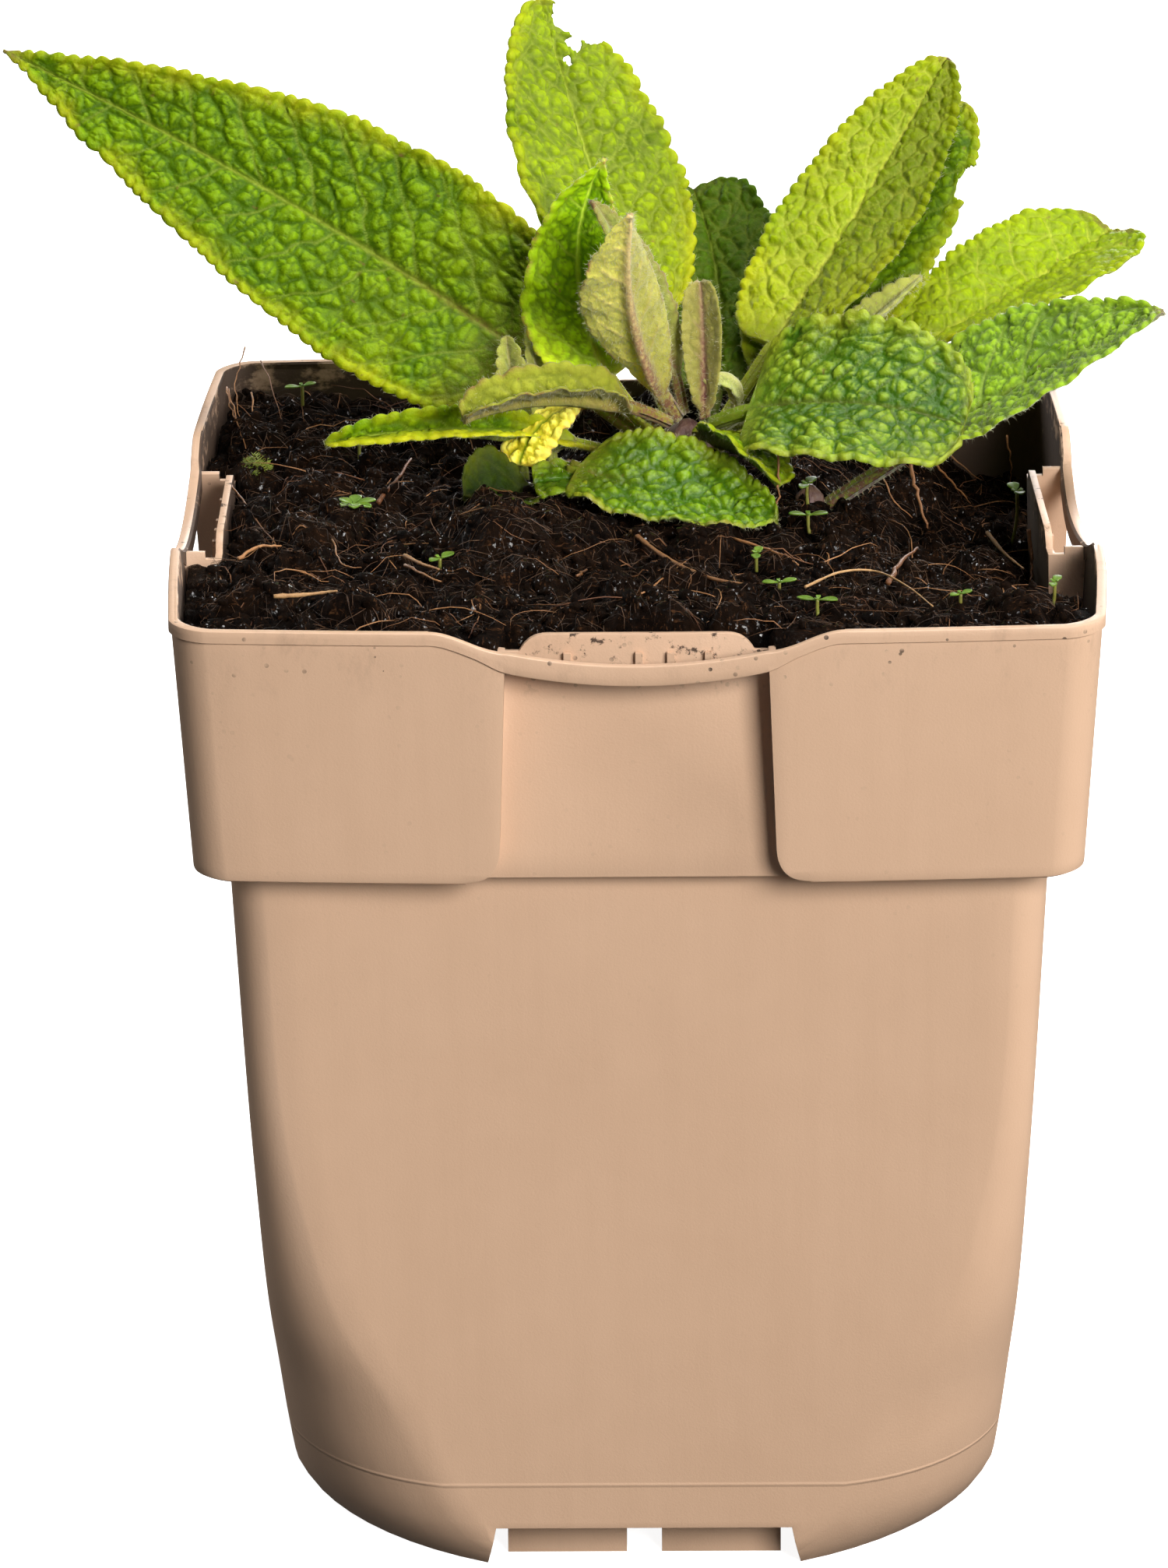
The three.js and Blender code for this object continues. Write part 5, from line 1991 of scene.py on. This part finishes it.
        piece = sheet.piece(name + "_grown", [finish.material(name + "_skin", effects), wool])
        dress(piece, finish.slot, name)
        return piece

    def bitten(self, s: Array, v: Array, keep: Array, bite: Bite) -> tuple[Array, Array, Array]:
        """Takes a bite out of the blade, with the nearest points moved on to its edge.

        Args:
            s: share of the length at each point of the grid.
            v: share of the half-width at each point, positive to the left.
            keep: which cells of the grid are there.
            bite: the bitten spot.

        Returns:
            s, v and keep after the bite.
        """
        t = (s * self.length - self.stalk) / self.blade
        half = self.half_width(t)
        du = s * self.length - self.stalk - bite.along
        dw = v * half - bite.left
        angle = np.arctan2(dw, du)
        edge = bite.radius * (1 + 0.08 * np.sin(3 * angle + bite.along) + 0.03 * np.sin(8 * angle))
        away = np.hypot(du, dw)
        near = np.abs(away - edge) < 0.62 * self.step
        pull = np.where(near, (edge - away) / np.maximum(away, 1e-6), 0)
        gone = away < edge - 0.3 * self.step
        corner = gone[:-1, :-1].astype(int) + gone[1:, :-1] + gone[:-1, 1:] + gone[1:, 1:]
        s = s + pull * du / self.length
        v = np.clip(v + pull * dw / half, -1, 1)
        return s, v, keep & (corner < 1)

    def marks(self, grid: Marks, parts: Marks, noise: Noise) -> Marks:
        """What the finish is painted by: lift, vein, ripeness, rust and tone.

        Args:
            grid: for each point t, the share of the blade's length, u and w, its distance along the blade and
                to the left, its distance to the margin, its share of the half-width, whether it is on the
                left half, and how far the blade has opened there.
            parts: the marks lift and vein of the blade.
            noise: what makes the patches uneven.

        Returns:
            A value per point for each mark. tone is the leaf's painted light and painted shade, times random
            patches.
        """
        t, u, w, margin, share, left, opened = grid.values()
        blotch = noise.layered(u / 6 + 9, w / 6 + 30, 4)
        edge = bell(margin, 1.3 + 2.2 * blotch) * opened
        ripe = self.ripe_margin * edge * (0.4 + blotch)
        ripe = ripe + self.ripe_base * (1 - smooth(t, 0.05, 0.5)) * (0.5 + share)
        ripe = ripe + self.ripe_left * smooth(w, -0.5, 1.5) * (0.75 + 0.5 * blotch)
        ripe = ripe * smooth(blotch + ripe * 0.5, 0.3, 0.62)
        basal = self.rust * (1 - smooth(t, -0.05, self.rust_reach)) * np.maximum(bell(w, 0.8), 1 - opened)
        tip = self.rust_tip * smooth(t, 0.95, 1.0)
        brown = self.rust_margin * bell(margin, 0.55) * smooth(noise.layered(u / 2.2, w / 8, 3), 0.35, 0.65)
        spots = 0.8 * smooth(noise.layered(u / 1.1 + 60, w / 1.1 + 60, 2), 0.86, 0.93)
        rust = np.maximum(np.maximum(basal, tip), np.maximum(brown, spots * opened))
        patch = 0.9 + 0.25 * noise.layered(u / 14 + 4, w / 14 + 8, 3)
        # tone: painted light and painted shade for the whole leaf and its left half, times random patches
        tone = self.shade * np.where(left, self.painted_light_and_shade_left, 1.0) * patch
        return {
            "lift": parts["lift"] * opened + 0.5 * (1 - opened),
            "vein": np.clip(parts["vein"] * opened, 0, 1),
            "ripe": np.clip(ripe, 0, 1),
            "rust": np.clip(rust, 0, 1),
            "tone": tone,
        }

    def lay(self, sheet: Sheet, top: Array, low: Array, keep: Array, marks: Marks) -> None:
        """Closes the upper and the lower skin into one body and lays it on the sheet.

        Args:
            sheet: what it is laid on.
            top: the upper skin's grid of points.
            low: the lower skin's grid of points.
            keep: which cells of the grid are there.
            marks: the marks of the grid's points.
        """
        points, faces, used = shell(top, low, keep)
        values = {name: np.concatenate([m.ravel(), m.ravel()])[used] for name, m in marks.items()}
        sheet.add(points, [faces], 0, under=used >= top[..., 0].size, **values)

    def hairs(self, sheet: Sheet, rng: Random, keep: Array, skin: Marks) -> None:
        """Sets hairs along the margin, under the blade and round the stalk.

        Args:
            sheet: what they are laid on.
            rng: the seeded source of their places.
            keep: which cells of the grid are there.
            skin: the grids of the leaf's points and directions.
        """
        rows, columns = skin["t"].shape
        on_blade = np.flatnonzero((skin["t"][:, 0] > 0.02))
        on_stalk = np.flatnonzero(skin["t"][:, 0] <= 0.02)
        margins = round(self.blade * (2.2 + 3.0 * self.wool))
        area = self.blade * self.width * 0.6
        below = round(area * (0.35 + 5.5 * self.wool))
        above = round(area * 2.2 * max(0.0, self.wool - 0.35))
        stem = round(self.stalk * (14 + 24 * self.wool))
        for count, kind in ((margins, "margin"), (below, "low"), (above, "top"), (stem, "stem")):
            if count == 0:
                continue
            choice = on_stalk if kind == "stem" else on_blade
            i = rng.choice(choice, count)
            j = rng.integers(0, columns, count)
            if kind == "margin":
                j = np.where(rng.random(count) < 0.5, 0, columns - 1)
            there = keep[np.clip(i, 0, rows - 2), np.clip(j, 0, columns - 2)]
            i, j = i[there], j[there]
            count = len(i)
            under = np.full(count, kind == "low") | ((kind == "stem") & (rng.random(count) < 0.5))
            roots = np.where(under[:, None], skin["low"][i, j], skin["top"][i, j])
            away = {
                "margin": unit(roots - skin["middle"][i, j]),
                "low": -skin["normal"][i, j],
                "top": skin["normal"][i, j],
                "stem": unit(roots - skin["middle"][i, j]),
            }[kind]
            stray = rng.normal(0, 0.42, (count, 3))
            aims = away + stray + skin["along"][i, j] * 0.35
            size = rng.uniform(0.25, 0.75, count) * (1.0 + 0.4 * self.wool)
            bend = rng.normal(0, 0.22, (count, 3)) - np.array([0, 0, 0.12])
            points, faces = spikes(roots, aims, size, 0.026, bend)
            sheet.add(points, faces, 1, tone=1.0)


# Each leaf's shade and left-half factor are painted light and painted shade, set one by one for how it is lit
LEAVES = (
    Leaf("leaf_long_left", Tone.MID, (2, 21, 145.6), 161, 33, 22, 90, 34, 0.25, 1.3, 3, 11, -56, -3, (9,
         11), relief=0.88, vein_gap=9.4, cell=3.7, bubble=1.65, ripe_base=0.15, rust=0.8, rust_tip=0.9),
    Leaf("leaf_tall_centre", Tone.LIGHT, (5.5, 21.5, 146), 114, 47, 17.5, 58, 28.5, 0.46, 1.3, -3, 4, 7, 7,
         (14, 12), relief=0.95, net=0.5, vein_gap=9.0, cell=3.9, bubble=1.8, tooth=2.6, ripe_margin=0.4,
         ripe_base=0.3, bites=(Bite(54.0, -5.9, 4.4), Bite(49.4, -3.3, 1.3), Bite(46.6, -1.5, 0.8))),
    Leaf("leaf_pointed_centre", Tone.MID, (2.5, 18, 148.4), 142, 24, 11, 35.5, 19, 0.32, 1.4, -13, -107,
         -24, 0, (10, 43), relief=0.42, vein_gap=7.5, cell=2.9, bubble=1.4, shade=2.2, ripe_margin=0.1,
         rust_margin=0.9, rust_tip=0.8),
    Leaf("leaf_folded_young", Tone.YOUNG, (5.5, 17, 151), 222.2, 53.9, 5, 37.5, 13.6, 0.5, 1.5, 62.6, -8.1,
         16, 12, (22, 4), (40, 16), relief=0.25, vein_gap=6, cell=2.6, bubble=1.3, tooth=1.7, wool=0.9,
         rust=0.9, rust_margin=1.0, rust_reach=1.2, ripe_margin=0.2, shade=2.1, painted_light_and_shade_left=0.54),
    Leaf("leaf_narrow_young", Tone.WOOLLY, (6.5, 19.5, 150.8), 202.7, 80.1, 6, 30.7, 7.5, 0.4, 1.2, 4.7,
         26.1, -65, 0, (13, 13), relief=0.2, vein_gap=5, cell=2.4, bubble=1.2, tooth=1.6, wool=0.7,
         rust=0.9, rust_margin=0.8, rust_tip=0.9, shade=0.8),
    Leaf("leaf_cut_young", Tone.YOUNG, (9.5, 16, 151), 90, 83, 1, 19, 7.6, 0.6, 0.85, 7, 26, -11, -6, (25,
         20), (34, 28), relief=0.2, vein_gap=5, cell=2.4, bubble=1.2, tooth=1.6, wool=0.9, rust=1.0,
         rust_reach=1.6, shade=0.85),
    Leaf("leaf_rear_shaded", Tone.DEEP_WITH_PAINTED_SHADE, (9, 22, 145), 76, 24, 12.5, 46, 21, 0.51, 0.5, 30, 0, 0, 0, (12,
         22), (-8, -5), relief=0.95, net=0.7, vein_gap=8.5, bubble=1.7, ripe_margin=0.15, ripe_base=0.0,
         wave=1.1, shade=0.85),
    Leaf("leaf_upright_right", Tone.LIME, (11, 20, 147.5), 54, 33, 17.5, 56.5, 22.5, 0.33, 0.9, 1, -5, -5,
         37, (1, 22), (-10, -8), relief=0.95, net=0.6, vein_gap=8.4, cell=2.9, bubble=1.4, tooth=2.0,
         ripe_margin=0.3, ripe_left=0.12, rust_tip=1.0, painted_light_and_shade_left=1.48, shade=0.64, rust=0.4),
    Leaf("leaf_bitten_right", Tone.MID, (10, 21.5, 143.5), 48, 32, 15.5, 56.5, 22.5, 0.42, 1, 3, -5, 17, 3,
         (12, 10), relief=0.5, vein_gap=8.0, cell=3.0, wool=0.4, shade=0.8, bites=(Bite(43.5, -9.6,
         3.4),)),
    Leaf("leaf_woolly_right", Tone.WOOLLY, (11.5, 18.5, 148.5), 36, 20, 10.5, 30.5, 6.5, 0.41, 0.9, 3, -7,
         7, 6, (40, 38), relief=0.15, vein_gap=5, cell=2.4, bubble=1.2, wool=1.0, rust=0.0),
    Leaf("leaf_spreading_upper", Tone.LIME, (11.5, 18.5, 146.5), 29, 14, 31.5, 50.5, 24.5, 0.6, 0.85, 26,
         5, -7, 19, (16, 20), (-6, -5), relief=0.72, net=0.35, vein_gap=8.0, cell=3.0, ripe_margin=0.2,
         rust_tip=0.8),
    Leaf("leaf_spreading_lower", Tone.LOWER, (27, 8, 140.5), 9, 32, 14, 41.5, 26, 0.35, 1.2, 0, 7, 18, 3,
         (19, 27), (-5, -4), relief=0.8, net=0.2, vein_gap=7.2, cell=2.7, bubble=1.4, ripe_margin=0.1,
         wool=0.55, rust_tip=0.8, rust=0.9, shade=1.02),
    Leaf("leaf_blistered_front", Tone.BLISTERED, (10, 14.5, 150.5), -34, 30, 8, 32, 28, 0.4, 0.5, 33, 51,
         28, 15, (14, 18), (-4, -2), relief=0.72, vein_gap=6.6, cell=2.7, bubble=1.9, ripe_margin=0.3,
         ripe_base=0.1, rust=0.3, rust_margin=0.4, wave=1.1, shade=0.86, painted_light_and_shade_left=1.16),
    Leaf("leaf_glossy_front", Tone.GLOSSY, (-9.8, 6.4, 147.0), -26, -11, 1.5, 30.5, 20, 0.36, 0.8, 10, -5,
         22, 0, (9, 9), (13, 22), relief=0.75, vein_gap=6.4, cell=2.9, bubble=1.9, tooth=1.7,
         ripe_margin=0.4, rust_margin=0.6, rust_tip=0.4, wool=0.4, wave=1.0),
    Leaf("leaf_small_front", Tone.MID, (8.5, 12.5, 150), -48, 14, 2, 17, 12, 0.5, 0.9, -3, 50, -21, 0,
         relief=0.5, vein_gap=5, cell=2.6, wool=0.4, shade=0.95),
    Leaf("leaf_arched_left", Tone.ARCHED, (4.5, 12.5, 151.6), 200, 32, 7, 25.5, 10, 0.49, 0.5, 0, 50, -13,
         -12, (52, 50), relief=0.4, vein_gap=5.5, cell=2.8, bubble=1.4, wool=0.5, rust=0.9,
         rust_margin=0.9, ripe_margin=0.3),
    Leaf("leaf_low_left", Tone.MID, (2, 17, 143.8), 187, 23, 11.5, 37, 7.5, 0.49, 1, 4, 32, -23, -37, (47,
         48), relief=0.45, vein_gap=6, cell=3.0, bubble=1.7, wool=0.4, ripe_margin=0.4, ripe_left=0.5,
         shade=1.05),
    Leaf("leaf_yellowing_left", Tone.YELLOW, (3, 14, 151), 141.6, 31.1, 12.4, 14, 8.8, 0.6, 0.6, 107.4,
         85.2, 0, 0, (-10, -8), relief=0.6, net=0.6, vein_gap=5.0, cell=2.5, bubble=1.3, ripe_margin=0.2,
         shade=1.5, rust=0.9, rust_margin=0.7),
    Leaf("leaf_shaded_left", Tone.DEEP_WITH_PAINTED_SHADE, (-13, 8, 142), 209, 9, 2.5, 11, 16, 0.49, 0.9, -5, 0, -18, 0, (28,
         26), (-5, -5), relief=0.4, vein_gap=6, cell=3.2, ripe_margin=0.9, shade=0.3),
    Leaf("leaf_sprout_left", Tone.WOOLLY, (-16.5, 16.5, 141.8), 112, 70, 4, 17, 6.5, 0.4, 0.8, -3, 0, -11,
         0, (39, 42), relief=0.15, vein_gap=4, cell=2.0, bubble=1.1, wool=0.8, rust=0.0),
    Leaf("leaf_sprout_right", Tone.WOOLLY, (-12, 16, 141.9), 109, 66, 4, 19, 6.5, 0.35, 0.9, 5, 9, 0, 0,
         (40, 40), relief=0.2, vein_gap=4.4, cell=2.2, bubble=1.1, wool=0.8, rust=0.0),
    Leaf("leaf_curled_tiny", Tone.WOOLLY, (11.5, 18.5, 149.5), 30, 10, 4, 8, 3, 0.5, 0.8, 0, -200, 0, 0,
         (30, 30), relief=0.1, vein_gap=3, cell=1.6, bubble=0.9, wool=1.0, rust=0.3),
    Leaf("leaf_lobed_left", Tone.GLOSSY, (-6.2, 5.0, 145.4), 195, 13, 1, 8, 8.5, 0.6, 0.6, -12, 27, -6,
         -14, (3, 7), relief=0.5, vein_gap=4.0, cell=2.0, bubble=1.2, wool=0.7, ripe_margin=0.5),
)


# ---------- Stocks and small growth ----------
@dataclass(frozen=True)
class Stock:
    """A short upright base that carries leaf stalks."""

    node: str
    x: float
    y: float
    radius: float
    foot: float
    top: float

    def build(self, effects: Effects) -> Piece:
        """Turns the stock with the ribs of old stalks round it and a rounded head.

        Args:
            effects: the shared shader groups.

        Returns:
            The stock.
        """
        deselect()
        bpy.ops.mesh.primitive_cylinder_add(
            vertices=36,
            radius=self.radius * MM,
            depth=(self.top - self.foot) * MM,
            location=(self.x * MM, self.y * MM, (self.top + self.foot) / 2 * MM),
        )
        piece = bpy.context.object
        piece.data.transform(piece.matrix_world)
        piece.matrix_world = Matrix.Identity(4)
        piece.name = self.node + "_grown"
        bpy.ops.object.mode_set(mode="EDIT")
        bpy.ops.mesh.select_all(action="SELECT")
        bpy.ops.mesh.subdivide(number_cuts=10)
        bpy.ops.object.mode_set(mode="OBJECT")
        for vert in piece.data.vertices:
            x, y, z = vert.co.x / MM - self.x, vert.co.y / MM - self.y, vert.co.z / MM
            angle = math.atan2(y, x)
            head = max(0.0, (z - self.top + self.radius) / self.radius)
            shrink = math.sqrt(max(0.02, 1 - 0.95 * head**2)) * (0.9 + 0.1 * math.cos(5 * angle + z / 2))
            vert.co = Vector((self.x + x * shrink, self.y + y * shrink, z)) * MM
        activate(piece)
        bpy.ops.object.shade_smooth_by_angle(angle=math.radians(60))
        piece.data.materials.append(StockSkin().material(effects))
        dress(piece, "stock_skin", self.node)
        return piece


STOCKS = (
    Stock("crown", 7, 17, 4.2, 128, 150.6),
    Stock("side_shoot", -10, 8.5, 2.2, 130, 147.3),
    Stock("right_shoot", 24.5, 8, 2.2, 128, 143.6),
)


@dataclass(frozen=True)
class Seedling:
    """A weed seedling: a bent stem with small leaves all round its top."""

    node: str
    x: float
    y: float
    height: float
    turn: float = 0.0
    leaves: int = 2
    length: float = 3.0
    rise: float = 20.0

    def leaf(self, sheet: Sheet, head: Array, heading: float, length: float, rise: float) -> None:
        """Lays one small cupped leaf with a midrib crease.

        Args:
            sheet: what it is laid on.
            head: where it starts.
            heading: where it points, in radians.
            length: its length.
            rise: how steeply it rises, in degrees.
        """
        t = np.linspace(0, 1, 12)
        v = np.linspace(-1, 1, 9)
        t, v = np.meshgrid(t, v, indexing="ij")
        half = 0.25 * length * np.sin(math.pi * np.clip((t - 0.18) / 0.84, 0.02, 0.98)) ** 0.7
        half = np.where(t < 0.2, 0.16 + (half - 0.16) * smooth(t, 0.12, 0.24), half)
        along = t * length
        up = 0.25 * length * t * math.sin(math.radians(rise)) * (2.2 - 1.2 * t) + 0.14 * np.abs(v) * half
        c, s = math.cos(heading), math.sin(heading)
        flat = along * math.cos(math.radians(rise))
        skin = np.stack([flat * c - v * half * s, flat * s + v * half * c, up], axis=-1) + head
        half_thickness = np.array([0, 0, 0.1])
        points, faces, _ = shell(skin + half_thickness, skin - half_thickness, np.ones_like(t[1:, 1:], bool))
        sheet.add(points, [faces], 0)

    def build(self, effects: Effects, peat: Peat, number: int) -> Piece:
        """Grows the seedling out of the peat and dresses it.

        Args:
            effects: the shared shader groups.
            peat: what it grows out of.
            number: what seeds its unevenness.

        Returns:
            The seedling.
        """
        rng = np.random.default_rng(900 + number)
        x, y = np.array([self.x]), np.array([self.y])
        ground = float(peat.level(x, y)[0])
        foot = ground - 0.4
        top = ground + 0.9 + self.height
        lean = rng.normal(0, 0.09 * self.height, 2)
        start = (self.x - lean[0], self.y - lean[1], foot)
        path = curve_through([start, (self.x, self.y, (foot + top) / 2), (self.x, self.y, top)], 5)
        sheet = Sheet.empty("tone")
        points, faces = tube(path, np.full(len(path), 0.26), 7)
        sheet.add(points, faces, 0, tone=0.35)
        for n in range(self.leaves):
            heading = math.radians(self.turn + 360 * n / self.leaves + rng.normal(0, 6))
            length = self.length * rng.uniform(0.85, 1.05)
            self.leaf(sheet, path[-1] - (0, 0, 0.1), heading, length, self.rise + rng.normal(0, 6))
        if self.leaves == 2:
            for n in range(2):
                heading = math.radians(self.turn + 90 + 180 * n)
                self.leaf(sheet, path[-1], heading, self.length * 0.42, 55)
        green = SmallGreen("seedling_green", "7fa02c", "3c6414").material(effects)
        piece = sheet.piece(self.node + "_grown", [green])
        dress(piece, "weed", self.node)
        return piece


SEEDLINGS = (
    Seedling("seedling_rear_left", -50, 50, 2.5, 30, length=2.8),
    Seedling("weed_star_left", -40.5, 1, 0.8, 20, 6, 3.6, 24),
    Seedling("weed_under_low_leaf", -41, 34, 3, 10, length=3.5),
    Seedling("seedling_front_left", -27.5, -26, 1.5, 60),
    Seedling("seedling_pair_rear", 24, 2.5, 3, 75, length=3.5),
    Seedling("seedling_pair_front", 24, -7, 1.5, 5, length=3.2),
    Seedling("seedling_tall_right", 54.5, 16, 7, 100, length=3.6, rise=40),
    Seedling("seedling_middle", 16.5, -24.5, 1.5, 80, length=2.8),
    Seedling("seedling_front_first", 19.5, -40, 1.2, 20, length=2.6),
    Seedling("seedling_front_second", 24.5, -53, 1.5, -15, length=3.2),
    Seedling("seedling_front_right", 44, -50, 1.5, 35, length=2.4),
    Seedling("seedling_right_corner", 57, -45, 2.5, 70, length=2.6),
)


@dataclass(frozen=True)
class Straw:
    """A straw or twig that lies over the clods along a path."""

    node: str
    radius: float
    lift: float
    path: tuple[tuple[float, float], ...]
    tone: float = 0.7

    def build(self, effects: Effects, peat: Peat, number: int) -> Piece:
        """Lays the straw and dresses it.

        Args:
            effects: the shared shader groups.
            peat: what it lies on.
            number: what seeds its unevenness.

        Returns:
            The straw.
        """
        rng = np.random.default_rng(700 + number)
        flat = np.array(self.path, float)
        high = peat.level(flat[:, 0], flat[:, 1]) + 0.9 + self.radius + self.lift
        path = curve_through(np.column_stack([flat, high]), 10)
        waver = rng.uniform(0.75, 1.12, len(path))
        thick = self.radius * 0.62 * waver * (1 - 0.55 * np.linspace(0, 1, len(path)) ** 2)
        points, faces = tube(path, thick, 9)
        sheet = Sheet.empty("tone")
        sheet.add(points, faces, 0, tone=self.tone)
        piece = sheet.piece(self.node + "_laid", [Fibre("straw", "dfb37a", "8a5430", 0.5).material(effects)])
        dress(piece, "straw", self.node)
        return piece


STRAWS = (
    Straw("twig_curved_middle", 0.6, 0.4, ((-1, -13), (4, -25), (10, -36), (15.5, -41)), 0.25),
    Straw("straw_pale_right", 0.3, 1.2, ((23, -45), (28, -34), (33, -31), (37, -44), (40, -57)), 1.0),
    Straw("straw_front_left", 0.6, 0.6, ((-49.5, -48), (-45.5, -47), (-41, -44.5)), 0.8),
    Straw("straw_right", 0.5, 1.5, ((50, 10), (52, 2), (54.5, -6)), 0.7),
    Straw("straw_left", 0.5, 0.8, ((-32.5, -24), (-30, -28), (-27.5, -31)), 0.6),
)


@dataclass
class Moss:
    """A small cushion of star moss against the left wall."""

    x: float = -55.5
    y: float = 20.0
    width: float = 4.5
    depth: float = 7.0
    height: float = 3.0
    shoots: int = 110

    def build(self, effects: Effects, peat: Peat) -> Piece:
        """Sets the shoots, each a rosette of pointed leaflets.

        Args:
            effects: the shared shader groups.
            peat: what it grows on.

        Returns:
            The cushion.
        """
        rng = np.random.default_rng(77)
        ground = float(peat.level(np.array([self.x]), np.array([self.y]))[0])
        roots, aims = [], []
        for _ in range(self.shoots):
            a, r = rng.uniform(0, 2 * math.pi), math.sqrt(rng.random())
            out = np.array([r * math.cos(a), r * math.sin(a)])
            high = ground + 0.6 + self.height * 0.75 * math.sqrt(max(0, 1 - r * r)) * rng.uniform(0.7, 1.1)
            stem = np.array([self.x + out[0] * self.width / 2, self.y + out[1] * self.depth / 2, high])
            for n in range(11):
                turn = 2.4 * n
                roots.append(stem - (0, 0, 0.12 * n))
                aims.append((math.cos(turn) + out[0] * 0.5, math.sin(turn) + out[1] * 0.5, 1.1 - 0.09 * n))
        roots, aims = np.array(roots), np.array(aims)
        size = rng.uniform(0.45, 0.85, len(roots))
        sheet = Sheet.empty("tone")
        points, faces = spikes(roots, aims, size, 0.09, np.tile((0, 0, -0.1), (len(roots), 1)))
        sheet.add(points, faces, 0, tone=0.0)
        green = SmallGreen("moss_green", "a2b13c", "3f5214").material(effects)
        piece = sheet.piece("moss_cushion_grown", [green])
        dress(piece, "moss", "moss_cushion")
        return piece


# ---------- Studio ----------
@dataclass
class Studio:
    """A pale floor that throws no light back, soft light from the front right, and the camera."""

    camera_at: Place = (6.75, -1053.71, 481.35)
    pitch: float = 19.84
    yaw: float = -0.81
    roll: float = -0.59
    focal_length: float = 178.6
    floor_radius: float = 9000.0

    def camera(self) -> None:
        """Sets the camera, which looks down on the pot from the front."""
        data = bpy.data.cameras.new("camera")
        data.lens = self.focal_length
        data.sensor_width = 36.0
        data.clip_end = 50.0
        pitch, yaw, roll = (math.radians(a) for a in (self.pitch, self.yaw, self.roll))
        ahead = Vector((math.sin(yaw) * math.cos(pitch), math.cos(yaw) * math.cos(pitch), -math.sin(pitch)))
        right = Vector((math.cos(yaw), -math.sin(yaw), 0.0))
        up = right.cross(ahead)
        across = right * math.cos(roll) + up * math.sin(roll)
        above = up * math.cos(roll) - right * math.sin(roll)
        turn = Matrix((across, above, -ahead)).transposed().to_4x4()
        camera = bpy.data.objects.new("camera", data)
        camera.matrix_world = Matrix.Translation(Vector(self.camera_at) * MM) @ turn
        bpy.context.scene.collection.objects.link(camera)
        bpy.context.scene.camera = camera

    def light(self, name: str, at: Place, size: float, power: float, tint: Place = (1, 1, 1)) -> None:
        """Hangs a square softbox that faces the pot.

        Args:
            name: its name.
            at: its place, in metres.
            size: its side, in metres.
            power: its power, in watts.
            tint: its colour.
        """
        data = bpy.data.lights.new(name, "AREA")
        data.shape = "SQUARE"
        data.size = size
        data.energy = power
        data.color = tint
        lamp = bpy.data.objects.new(name, data)
        lamp.location = at
        lamp.rotation_euler = (Vector((0.0, 0.0, 0.1)) - Vector(at)).to_track_quat("-Z", "Y").to_euler()
        lamp.visible_camera = False
        bpy.context.scene.collection.objects.link(lamp)

    def floor(self) -> None:
        """Lays the round pale floor."""
        deselect()
        bpy.ops.mesh.primitive_circle_add(vertices=96, radius=self.floor_radius * MM, fill_type="NGON")
        floor = bpy.context.object
        floor.name = "floor"
        material, w, shader = new_material("pale_floor")
        color = w.mix(w.noise(3, 4), (0.93, 0.93, 0.925, 1), (0.9, 0.9, 0.9, 1))
        w.feed(shader, base_color=color, roughness=0.8, emission_color=color, emission_strength=1.0)
        floor.visible_diffuse = False
        floor.visible_glossy = False
        floor.data.materials.append(material)

    def build(self) -> None:
        """Sets up floor, lights and camera."""
        scene = bpy.context.scene
        scene.view_settings.view_transform = "Standard"
        world = bpy.data.worlds.new("studio")
        world.use_nodes = True
        w = Wiring(world.node_tree)
        sky = world.node_tree.nodes["Background"]
        seen = w.put("ShaderNodeLightPath").outputs["Is Camera Ray"]
        w.feed(sky, color=(1, 1, 1, 1), strength=w.band(seen, 0.0, 1.0, 0.05, 0.95))
        scene.world = world
        self.floor()
        self.light("key", (0.62, -1.15, 0.72), 0.6, 22.5, (1.0, 0.98, 0.95))
        self.light("right", (1.3, 0.2, 0.45), 0.5, 9.0)
        self.light("top", (0.2, 0.1, 1.3), 0.5, 10.0)
        self.light("card", (-0.125, -0.135, 0.004), 0.08, 0.014)
        self.light("rear", (0.2, 1.5, 0.22), 0.5, 12.0)
        self.light("back", (-1.1, 1.0, 0.55), 0.5, 7.0)
        self.camera()


def main() -> None:
    """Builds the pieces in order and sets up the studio."""
    logging.basicConfig(level=logging.INFO)
    effects = Effects.make()
    Pot().build(effects)
    peat = Peat()
    peat.build(effects)
    wool = Hair().material(effects)
    for stock in STOCKS:
        stock.build(effects)
    for number, leaf in enumerate(LEAVES):
        leaf.build(effects, wool, number)
    for number, seedling in enumerate(SEEDLINGS):
        seedling.build(effects, peat, number)
    for number, straw in enumerate(STRAWS):
        straw.build(effects, peat, number)
    Moss().build(effects, peat)
    Studio().build()
    bpy.context.view_layer.update()


if __name__ == "__main__":
    main()
